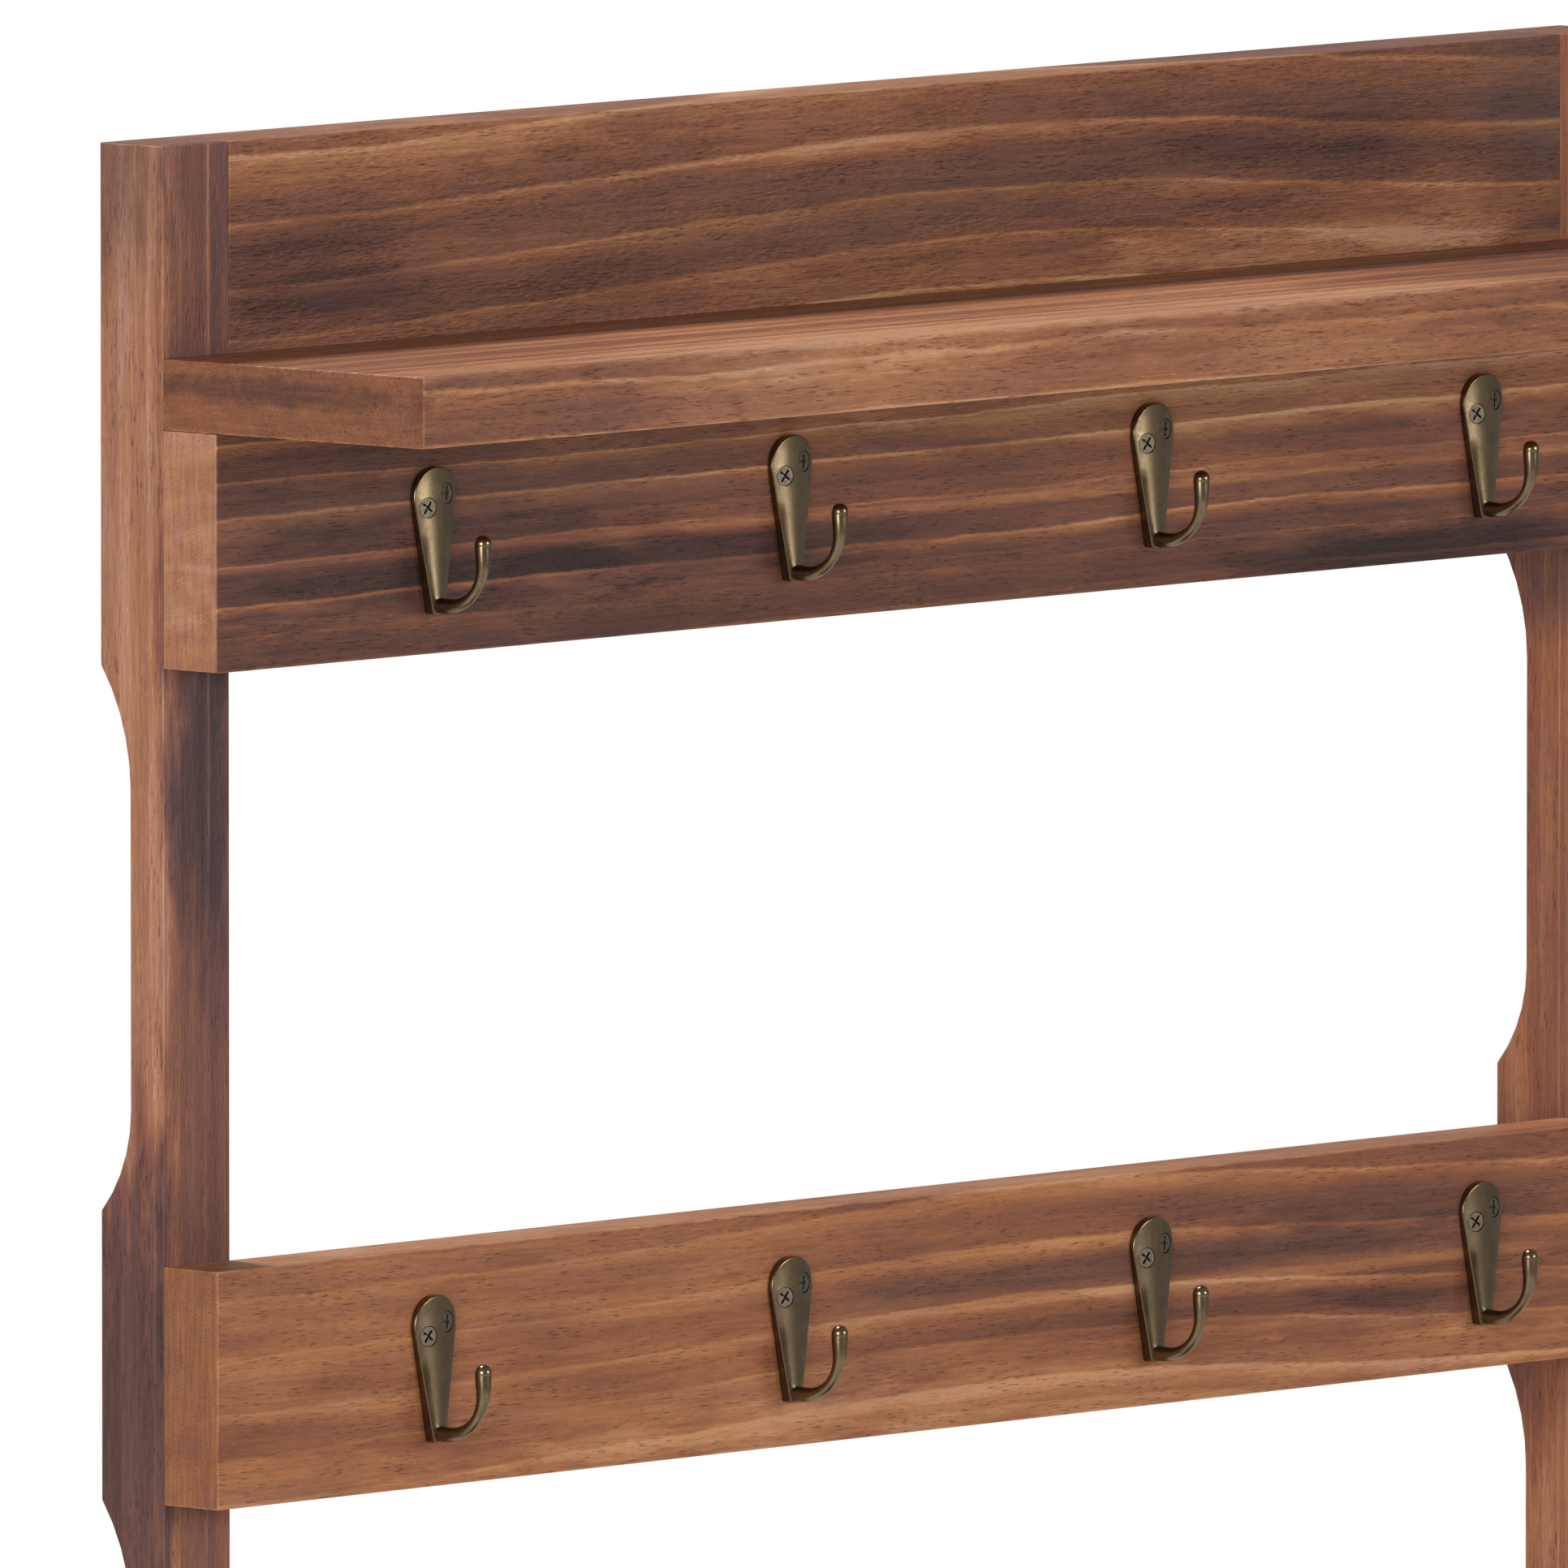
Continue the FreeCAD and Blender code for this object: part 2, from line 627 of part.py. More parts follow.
def apron_dowels(pieces):
    """Dowels in the ends of the front and back aprons and of the bearer."""
    joints = []
    for name, side in SIDES:
        for z in inset_pair(APRON_BOTTOM, SEAT_UNDERSIDE):
            front = Vector(side * INNER_RIGHT, LEG_MIDDLE_Y, z)
            joints.append((front, Vector(1, 0, 0), ["front_apron", f"{name}_front_leg"]))
        for z in inset_pair(APRON_BOTTOM, SEAT_HEIGHT):
            back = Vector(side * INNER_RIGHT, POST_MIDDLE_Y, z)
            joints.append((back, Vector(1, 0, 0), ["back_apron", f"{name}_post"]))
    bearer_z = SEAT_UNDERSIDE - BEARER_HEIGHT / 2
    bearer_ends = (
        (LEG_MIDDLE_Y + APRON_THICKNESS / 2, "front_apron"),
        (POST_MIDDLE_Y - APRON_THICKNESS / 2, "back_apron"),
    )
    for y, apron in bearer_ends:
        joints.append((Vector(0, y, bearer_z), Vector(0, 1, 0), ["seat_bearer", apron]))
    fit_dowels(pieces, "apron_dowels", joints)


def side_frame_dowels(pieces):
    """Dowels that join the side aprons and shoe rails to the posts and front legs.

    They stand off the middle of the posts, clear of the ends of the front and back aprons' dowels.
    """
    joints = []
    rail_heights = inset_pair(SHOE_RAIL_TOP - SHOE_RAIL_HEIGHT, SHOE_RAIL_TOP, SHOE_RAIL_DOWEL_INSET)
    members = (
        ("side_apron", inset_pair(APRON_BOTTOM, SEAT_UNDERSIDE)),
        ("shoe_rail", rail_heights),
    )
    for name, side in SIDES:
        x = side * (POST_MIDDLE_X + SIDE_DOWEL_OFFSET)
        ends = ((LEG_BACK, f"{name}_front_leg"), (POST_FRONT, f"{name}_post"))
        for y, upright in ends:
            for member, heights in members:
                for z in heights:
                    joints.append((Vector(x, y, z), Vector(0, 1, 0), [f"{name}_{member}", upright]))
    fit_dowels(pieces, "side_frame_dowels", joints)


def rail_screws(pieces):
    """Screws from behind, through the posts into the hook rails."""
    rails = (("upper_hook_rail", UPPER_RAIL_TOP), ("lower_hook_rail", LOWER_RAIL_TOP))
    for rail, top in rails:
        seats = []
        for name, side in SIDES:
            for above in (-RAIL_SCREW_SPACING / 2, RAIL_SCREW_SPACING / 2):
                head = Vector(side * POST_MIDDLE_X, BACK, top - RAIL_HEIGHT / 2 + above)
                seats.append((head, Vector(0, -1, 0), [f"{name}_post", rail]))
        fit_screws(pieces, f"{rail}_screws", RAIL_SCREW, seats)


def shelf_screws(pieces):
    """Screws from behind, through the posts and the top board into the shelf's back edge."""
    z = (SHELF_TOP + SHELF_UNDERSIDE) / 2
    seats = []
    for name, side in SIDES:
        places = (
            (side * POST_MIDDLE_X, f"{name}_post"),
            (side * (INNER_RIGHT - SHELF_SCREW_INSET), "top_board"),
        )
        for x, passed in places:
            seats.append((Vector(x, BACK, z), Vector(0, -1, 0), [passed, "top_shelf"]))
    fit_screws(pieces, "shelf_screws", SHELF_SCREW, seats)


def cleat_screw_places():
    """How far back each of a cleat's own two screws is, front and back."""
    return LEG_BACK + CLEAT_SCREW_INSET, POST_FRONT - CLEAT_SCREW_INSET


def seat_screw_places():
    """How far back each seat board's screws are: mid-board, or clear of the cleats' own screws."""
    front_cleat_screw, back_cleat_screw = cleat_screw_places()
    places = [(front + back) / 2 for front, back in seat_board_spans()]
    places[0] = back_cleat_screw - BACK_SEAT_SCREW_OFFSET
    places[-1] = front_cleat_screw - FRONT_SEAT_SCREW_OFFSET
    return places


def cleat_screws(pieces):
    """Screws that hold the seat cleats to the side aprons."""
    seats = []
    z = SEAT_UNDERSIDE - CLEAT_SIDE / 2
    inner_face = POST_MIDDLE_X - APRON_THICKNESS / 2 - CLEAT_SIDE
    for name, side in SIDES:
        for y in cleat_screw_places():
            head = Vector(side * inner_face, y, z)
            seats.append((head, Vector(side, 0, 0), [f"{name}_seat_cleat", f"{name}_side_apron"]))
    fit_screws(pieces, "cleat_screws", CLEAT_SCREW, seats)


def seat_screws(pieces):
    """Screws up through the cleats into the seat boards."""
    seats = []
    x = POST_MIDDLE_X - APRON_THICKNESS / 2 - CLEAT_SIDE / 2
    for number, y in enumerate(seat_screw_places(), 1):
        for name, side in SIDES:
            head = Vector(side * x, y, SEAT_UNDERSIDE - CLEAT_SIDE)
            seats.append((head, Vector(0, 0, 1), [f"{name}_seat_cleat", f"seat_board_{number}"]))
    fit_screws(pieces, "seat_screws", SEAT_SCREW, seats)


def slat_screws(pieces):
    """Screws down through the slats into the shoe rails, and into the batten between them."""
    rail_seats = []
    batten_seats = []
    for number, (front, back) in enumerate(slat_spans(), 1):
        slat = f"shoe_slat_{number}"
        middle = (front + back) / 2
        for name, side in SIDES:
            head = Vector(side * POST_MIDDLE_X, middle, SHOE_SHELF_HEIGHT)
            rail_seats.append((head, Vector(0, 0, -1), [slat, f"{name}_shoe_rail"]))
        head = Vector(0, middle, SHOE_SHELF_HEIGHT)
        batten_seats.append((head, Vector(0, 0, -1), [slat, "shoe_shelf_batten"]))
    fit_screws(pieces, "slat_screws", SLAT_SCREW, rail_seats)
    fit_screws(pieces, "batten_screws", BATTEN_SCREW, batten_seats)


def bolt():
    """A flat-headed joint bolt, its head's face at z = 0 and its shank below."""
    head = Part.makeCylinder(BOLT_HEAD_RADIUS, BOLT_HEAD_THICKNESS, Vector(0, 0, -BOLT_HEAD_THICKNESS))
    head = head.makeFillet(BOLT_HEAD_ROUND, flat_edges(head, 0))
    shank = Part.makeCylinder(BOLT_RADIUS, BOLT_LENGTH, Vector(0, 0, -BOLT_LENGTH))
    angles = [math.radians(corner * 60) for corner in (0, 1, 2, 3, 4, 5, 0)]
    corners = [Vector(math.cos(a), math.sin(a), 0) * BOLT_SOCKET_RADIUS for a in angles]
    socket = Part.Face(Part.makePolygon(corners)).extrude(Vector(0, 0, -BOLT_HEAD_THICKNESS))
    return head.fuse(shank).removeSplitter().cut(socket)


def barrel_nut():
    """A cross barrel, its slotted end at z = 0, with the bolt's hole across it."""
    length = APRON_THICKNESS - 2 * NUT_INSET
    barrel = Part.makeCylinder(NUT_RADIUS, length, Vector(0, 0, -length))
    hole = Part.makeCylinder(
        BOLT_RADIUS, 2 * NUT_RADIUS, Vector(-NUT_RADIUS, 0, -length / 2), Vector(1, 0, 0)
    )
    slot = Part.makeBox(
        2 * NUT_RADIUS, NUT_SLOT_WIDTH, NUT_SLOT_DEPTH,
        Vector(-NUT_RADIUS, -NUT_SLOT_WIDTH / 2, -NUT_SLOT_DEPTH),
    )
    return barrel.cut([hole, slot])


def bolts_and_nuts(pieces):
    """Bolts through the posts and legs into barrel nuts in the front and back aprons."""
    bolts = []
    nuts = []
    nut_depth = BOLT_LENGTH - NUT_RADIUS - NUT_END_ROOM
    z = (APRON_BOTTOM + SEAT_UNDERSIDE) / 2
    joints = (
        ("front_apron", "front_leg", LEG_MIDDLE_Y, 1),
        ("back_apron", "post", POST_MIDDLE_Y, -1),
    )
    for apron, upright, y, inward in joints:
        for name, side in SIDES:
            head = Vector(side * (RIGHT - BOLT_HEAD_RECESS + BOLT_HEAD_THICKNESS), y, z)
            bolts.append(placed(bolt(), head, Vector(-side, 0, 0)))
            mouth_face = y + inward * (APRON_THICKNESS / 2 - NUT_INSET)
            nut_x = side * (abs(head.x) - nut_depth)
            nuts.append(placed(barrel_nut(), Vector(nut_x, mouth_face, z), Vector(0, -inward, 0)))
            cut_from(pieces, [f"{name}_{upright}", apron], bolt_holes(head, side))
            hole_length = APRON_THICKNESS - NUT_INSET
            open_face = Vector(nut_x, y + inward * APRON_THICKNESS / 2, z)
            nut_hole = Part.makeCylinder(NUT_RADIUS, hole_length, open_face, Vector(0, -inward, 0))
            cut_from(pieces, [apron], [nut_hole])
    pieces["frame_bolts"] = Part.makeCompound(bolts)
    pieces["barrel_nuts"] = Part.makeCompound(nuts)


def bolt_holes(head, side):
    """The recess for a bolt's head and the clearance hole for its shank."""
    inward = Vector(-side, 0, 0)
    mouth = Vector(side * RIGHT, head.y, head.z)
    recess = Part.makeCylinder(
        BOLT_HEAD_RADIUS + BOLT_HOLE_CLEARANCE, BOLT_HEAD_RECESS, mouth, inward
    )
    shank_hole = Part.makeCylinder(
        BOLT_RADIUS + BOLT_HOLE_CLEARANCE, BOLT_LENGTH + DOWEL_END_ROOM, head, inward
    )
    return [recess, shank_hole]


def foot_glides(pieces):
    """A tap-in glide under each post and front leg."""
    disc = Part.makeCylinder(GLIDE_RADIUS, GLIDE_THICKNESS)
    disc = disc.makeFillet(GLIDE_ROUND, flat_edges(disc, 0))
    stem = Part.makeCylinder(GLIDE_STEM_RADIUS, GLIDE_THICKNESS + GLIDE_STEM_LENGTH)
    glide = disc.fuse(stem).removeSplitter()
    glides = []
    for name, side in SIDES:
        for y, upright in ((LEG_MIDDLE_Y, f"{name}_front_leg"), (POST_MIDDLE_Y, f"{name}_post")):
            place = Vector(side * POST_MIDDLE_X, y, 0)
            glides.append(glide.translated(place))
            cut_from(pieces, [upright], [stem.translated(place)])
    pieces["foot_glides"] = Part.makeCompound(glides)


# ---------------------------------------------------------------- the whole hall tree


def hall_tree():
    pieces = {}
    for group in (uprights(), upper_boards(), bench_frame(), bench_boards()):
        pieces.update(group)
    hooks_and_screws(pieces)
    top_dowels(pieces)
    apron_dowels(pieces)
    side_frame_dowels(pieces)
    rail_screws(pieces)
    shelf_screws(pieces)
    cleat_screws(pieces)
    seat_screws(pieces)
    slat_screws(pieces)
    bolts_and_nuts(pieces)
    foot_glides(pieces)
    return pieces


def main():
    os.makedirs("parts", exist_ok=True)
    for name, shape in hall_tree().items():
        shape.exportStep(f"parts/{name}.step")
        print(name, len(shape.Solids), "solids", shape.isValid(), round(shape.Volume, 1))


main()
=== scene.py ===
"""The looks of the hall tree: stained pine, antique brass hooks, hardware, floor, light and camera."""

import math

import bpy
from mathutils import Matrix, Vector


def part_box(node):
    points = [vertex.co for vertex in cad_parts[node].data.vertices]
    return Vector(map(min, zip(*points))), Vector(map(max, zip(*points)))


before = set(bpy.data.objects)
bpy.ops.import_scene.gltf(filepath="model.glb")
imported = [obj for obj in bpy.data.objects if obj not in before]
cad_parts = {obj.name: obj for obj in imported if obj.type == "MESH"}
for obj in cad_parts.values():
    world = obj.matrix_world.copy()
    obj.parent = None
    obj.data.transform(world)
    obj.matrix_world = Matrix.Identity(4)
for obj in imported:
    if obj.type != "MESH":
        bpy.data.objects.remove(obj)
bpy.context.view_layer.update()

# Millimetres in a metre
MM = 1000.0

# ---------------------------------------------------------------- node helpers


# Sockets of the colour mix node, which has no unique names for them
MIX_FACTOR, MIX_A, MIX_B, MIX_RESULT = 0, 6, 7, 2


class Graph:
    """Short calls for building a node tree; each shading call returns its node's output socket."""

    def __init__(self, tree):
        self.tree = tree

    def node(self, kind, **settings):
        made = self.tree.nodes.new(kind)
        for name, value in settings.items():
            setattr(made, name, value)
        return made

    def feed(self, socket, value):
        """Link a socket to another, or give it a constant."""
        if isinstance(value, bpy.types.NodeSocket):
            self.tree.links.new(value, socket)
        else:
            socket.default_value = value

    def math(self, operation, *values):
        made = self.node("ShaderNodeMath", operation=operation)
        for socket, value in zip(made.inputs, values):
            self.feed(socket, value)
        return made.outputs[0]

    def add(self, a, b):
        return self.math("ADD", a, b)

    def sub(self, a, b):
        return self.math("SUBTRACT", a, b)

    def mul(self, a, b):
        return self.math("MULTIPLY", a, b)

    def vector(self, x, y, z):
        made = self.node("ShaderNodeCombineXYZ")
        for socket, value in zip(made.inputs, (x, y, z)):
            self.feed(socket, value)
        return made.outputs[0]

    def stretched(self, vector, sizes, seed):
        """A vector scaled so that the noise has features of these sizes, and shifted by a seed."""
        made = self.node("ShaderNodeVectorMath", operation="MULTIPLY_ADD")
        self.feed(made.inputs[0], vector)
        made.inputs[1].default_value = [1 / size for size in sizes]
        self.feed(made.inputs[2], seed)
        return made.outputs[0]

    def noise(self, vector, detail=2.0, roughness=0.5):
        made = self.node("ShaderNodeTexNoise")
        self.feed(made.inputs["Vector"], vector)
        made.inputs["Scale"].default_value = 1.0
        made.inputs["Detail"].default_value = detail
        made.inputs["Roughness"].default_value = roughness
        return made.outputs["Fac"]

    def split(self, vector):
        """A vector's three parts."""
        made = self.node("ShaderNodeSeparateXYZ")
        self.feed(made.inputs[0], vector)
        return made.outputs

    def smooth(self, value, low, high, to_low=0.0, to_high=1.0):
        """A smooth step of a value between two levels."""
        made = self.node("ShaderNodeMapRange", interpolation_type="SMOOTHSTEP")
        for socket, item in zip(made.inputs, (value, low, high, to_low, to_high)):
            self.feed(socket, item)
        return made.outputs[0]

    def mix(self, factor, a, b, blend="MIX"):
        made = self.node("ShaderNodeMix", data_type="RGBA", blend_type=blend)
        self.feed(made.inputs[MIX_FACTOR], factor)
        self.feed(made.inputs[MIX_A], a)
        self.feed(made.inputs[MIX_B], b)
        return made.outputs[MIX_RESULT]

    def stained(self, factor, color, stain):
        """A colour multiplied by a stain, as far as the factor says."""
        return self.mix(factor, color, self.mix(1.0, color, stain, "MULTIPLY"))

    def brighten(self, color, factor):
        """A colour times a number."""
        made = self.node("ShaderNodeVectorMath", operation="SCALE")
        self.feed(made.inputs[0], color if isinstance(color, bpy.types.NodeSocket) else color[:3])
        self.feed(made.inputs[3], factor)
        return made.outputs[0]

    def bump(self, height, distance, strength=1.0):
        made = self.node("ShaderNodeBump")
        made.inputs["Strength"].default_value = strength
        made.inputs["Distance"].default_value = distance
        self.feed(made.inputs["Height"], height)
        return made.outputs["Normal"]


def rgb(red, green, blue):
    return (red, green, blue, 1.0)


def new_material(name):
    """A material, its graph and its Principled shader."""
    material = bpy.data.materials.new(name)
    material.use_nodes = True
    shader = material.node_tree.nodes["Principled BSDF"]
    return material, Graph(material.node_tree), shader


def dress(node, material):
    """Give a CAD node's object one material in all its slots."""
    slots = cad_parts[node].data.materials
    for index in range(len(slots)):
        slots[index] = material
    if not slots:
        slots.append(material)


# ---------------------------------------------------------------- stained pine

# The stain's tones, from the darkest bands to the lightest lines
STAIN_RAMP = (
    (0.00, rgb(0.032, 0.016, 0.012)),
    (0.22, rgb(0.082, 0.033, 0.022)),
    (0.42, rgb(0.142, 0.055, 0.032)),
    (0.62, rgb(0.226, 0.084, 0.038)),
    (0.80, rgb(0.322, 0.134, 0.056)),
    (1.00, rgb(0.440, 0.220, 0.110)),
)
GRAIN_INPUTS = (
    ("Place", "NodeSocketVector"),
    ("Seed", "NodeSocketVector"),
    ("Pith", "NodeSocketVector"),
    ("Ring pitch", "NodeSocketFloat"),
    ("Ring shift", "NodeSocketFloat"),
    ("Bow", "NodeSocketFloat"),
    ("Bow middle", "NodeSocketFloat"),
    ("Bow length", "NodeSocketFloat"),
    ("Tone", "NodeSocketFloat"),
    ("Bands", "NodeSocketFloat"),
    ("Lines", "NodeSocketFloat"),
    ("Clouds", "NodeSocketFloat"),
    ("Spots", "NodeSocketFloat"),
    ("Grey", "NodeSocketFloat"),
    ("Calm", "NodeSocketFloat"),
    ("End", "NodeSocketFloat"),
    ("End tone", "NodeSocketFloat"),
    ("End tint", "NodeSocketColor"),
    ("Streaks", "NodeSocketFloat"),
    ("Coarse", "NodeSocketFloat"),
    ("Edge", "NodeSocketFloat"),
    ("Tint", "NodeSocketColor"),
)
GRAIN_OUTPUTS = (
    ("Color", "NodeSocketColor"),
    ("Roughness", "NodeSocketFloat"),
    ("Height", "NodeSocketFloat"),
)


class Sizes:
    """Feature sizes of the wood's noises, in millimetres along, across and into a board."""

    LINE_FADES = (110, 14, 14)
    THIN_RING_WAVER = (60, 6, 6)
    STREAKS = (170, 3.4, 3.4)
    CLOUDS = (130, 22, 26)
    GLOWS = (180, 28, 30)
    FIBRES = (30, 0.65, 0.65)
    HAIRS = (6, 0.28, 0.28)
    GRIT = (0.5, 0.22, 0.22)
    FLECKS = (4.2, 0.95, 0.95)
    FLECK_PATCHES = (45, 14, 14)
    END_STREAKS = (60, 22, 1.5)
    RUBBED_PATCHES = (16, 4, 4)
    PURPLE_PATCHES = (140, 9, 12)
    PORES = (6.5, 0.55, 0.55)
    PORE_PATCHES = (36, 8, 8)
    SPOT_FRAY = (38, 7, 9)


class Steps:
    """Smooth steps: the levels that each runs between, then what they become if not 0 and 1."""

    LINE_FADES = (-0.14, 0.06, 0.25, 1.0)
    BAND_AFTER_LINE = (0.53, 0.95)
    BAND_BEFORE_LINE = (0.49, 0.41)
    CLOUDS = (-0.02, 0.17)
    GLOWS = (-0.05, 0.18)
    FLECK_PATCHES = (-0.16, 0.08, 0.25, 1.0)
    RUBBED_PATCHES = (-0.12, 0.12)
    EDGE_MILLIMETRES = (0.9, 0.1)
    PURPLE_PATCHES = (-0.02, 0.16)
    DARK_PORES = (-0.13, -0.22)
    DARK_PORE_PATCHES = (-0.14, 0.08)
    LIGHT_PORES = (0.14, 0.24)
    LIGHT_PORE_PATCHES = (0.14, -0.08)
    END_GRAIN = (0.80, 0.95)
    SPOT_RADIUS = (1.35, 0.45)


class Tones:
    """How far each mark moves the tone up or down the stain's ramp."""

    GLOW = 0.10
    THIN_RING = 0.030
    FIBRE = 0.42
    BAND_ON_END = 0.04
    STREAK_ON_END = 0.42
    SPOT_ON_END = 0.5
    # Painted highlight along every edge
    EDGE_HIGHLIGHT = 0.04
    RUBBED_EDGE = 0.14


class Shades:
    """How much each fine mark brightens or darkens the colour."""

    HAIR = 0.62
    GRIT = 0.30
    FLECK = 0.42
    DARK_PORE = 0.45
    LIGHT_PORE = 0.50


class Heights:
    """How much each fine mark stands out of the surface, as shares of the bump's distance."""

    FIBRE = 0.30
    HAIR = 0.14
    FLECK = 1.30
    DARK_PORE = 0.30
    LIGHT_PORE = 0.15


# The wavering of the rings: feature sizes, detail and reach in millimetres
WAVERS = (
    ((300, 90, 90), 1.0, 9.0),
    ((75, 20, 20), 2.0, 3.4),
    ((13, 3.5, 3.5), 2.0, 1.3),
    ((3.5, 0.9, 0.9), 2.0, 0.5),
)
# How unevenly the rings are spaced: the noise's size and reach, counted in rings
UNEVEN_RING_SIZES = (1, 1.7, 1)
UNEVEN_RINGS = 1.1
# Faint thin rings between the main ones
THIN_RINGS_PER_RING = 4.0
THIN_RING_WAVER_REACH = 1.2
# The light lines' width as a share of a ring, and the least strength of lines and bands
LINE_HALF_WIDTH = 0.04
LINE_HALF_WIDTH_SPREAD = 0.06
FAINTEST_LINE = 0.45
FAINTEST_BAND = 0.5
# Factors that turn one random number of a ring into others
BAND_DRAW = 7.0
PURPLE_DRAW = 13.0
PURPLE_STAIN = rgb(0.88, 0.94, 1.14)
PURPLE_SHARE = 0.75
GREY_STAIN = rgb(0.84, 1.06, 1.16)
GREY_SHARE = 0.75
GREY_LOST_ON_END = 0.5
WOOD_ROUGHNESS = 0.44
FIBRE_ROUGHNESS = 0.30


def noise_field(g, place, seed):
    """A call that makes noise about zero with features of given sizes."""
    def field(sizes, detail=2.0, roughness=0.5):
        return g.sub(g.noise(g.stretched(place, sizes, seed), detail, roughness), 0.5)
    return field


def at_least(g, floor, value):
    """A number from 0 to 1 squeezed into the range from a floor to 1."""
    return g.add(floor, g.mul(value, 1.0 - floor))


def growth_rings(g, given, field):
    """The count of rings at each point, whole numbers at the ring borders."""
    along, across, into = g.split(given["Place"])
    pith = g.split(given["Pith"])
    waver = 0.0
    for sizes, detail, reach in WAVERS:
        waver = g.add(waver, g.mul(field(sizes, detail), reach))
    turn = g.math("DIVIDE", g.sub(along, given["Bow middle"]), given["Bow length"])
    arch = g.mul(g.sub(1.0, g.math("COSINE", g.mul(turn, math.tau))), g.mul(given["Bow"], 0.5))
    side_step = g.sub(g.sub(g.add(across, waver), arch), pith[1])
    depth_step = g.sub(into, pith[2])
    radius = g.math("SQRT", g.add(g.mul(side_step, side_step), g.mul(depth_step, depth_step)))
    rings = g.add(g.math("DIVIDE", radius, given["Ring pitch"]), given["Ring shift"])
    uneven = g.noise(g.stretched(g.vector(0.0, rings, 0.0), UNEVEN_RING_SIZES, given["Seed"]), 1.0)
    return g.add(rings, g.mul(uneven, UNEVEN_RINGS))


def lines_and_bands(g, rings, live, field):
    """Each ring's thin light line, its dark band and its random number."""
    share = g.math("FRACT", rings)
    each = g.node("ShaderNodeTexWhiteNoise", noise_dimensions="1D")
    g.feed(each.inputs["W"], g.math("FLOOR", rings))
    vigour = each.outputs["Value"]
    off_line = g.math("ABSOLUTE", g.sub(share, 0.5))
    half_width = g.add(LINE_HALF_WIDTH, g.mul(vigour, LINE_HALF_WIDTH_SPREAD))
    line = g.smooth(off_line, half_width, 0.0)
    line = g.mul(line, g.smooth(field(Sizes.LINE_FADES), *Steps.LINE_FADES))
    line = g.mul(line, at_least(g, FAINTEST_LINE, vigour))
    band = g.math("MAXIMUM", g.smooth(share, *Steps.BAND_AFTER_LINE),
                  g.smooth(share, *Steps.BAND_BEFORE_LINE))
    band = g.mul(band, at_least(g, FAINTEST_BAND, g.math("FRACT", g.mul(vigour, BAND_DRAW))))
    return g.mul(line, live), g.mul(band, live), vigour


def stain_color(g, tone):
    """The stain's colour at a tone."""
    ramp = g.node("ShaderNodeValToRGB")
    g.feed(ramp.inputs[0], tone)
    stops = ramp.color_ramp.elements
    while len(stops) < len(STAIN_RAMP):
        stops.new(0.5)
    for stop, (position, color) in zip(stops, STAIN_RAMP):
        stop.position = position
        stop.color = color
    return ramp.outputs[0]


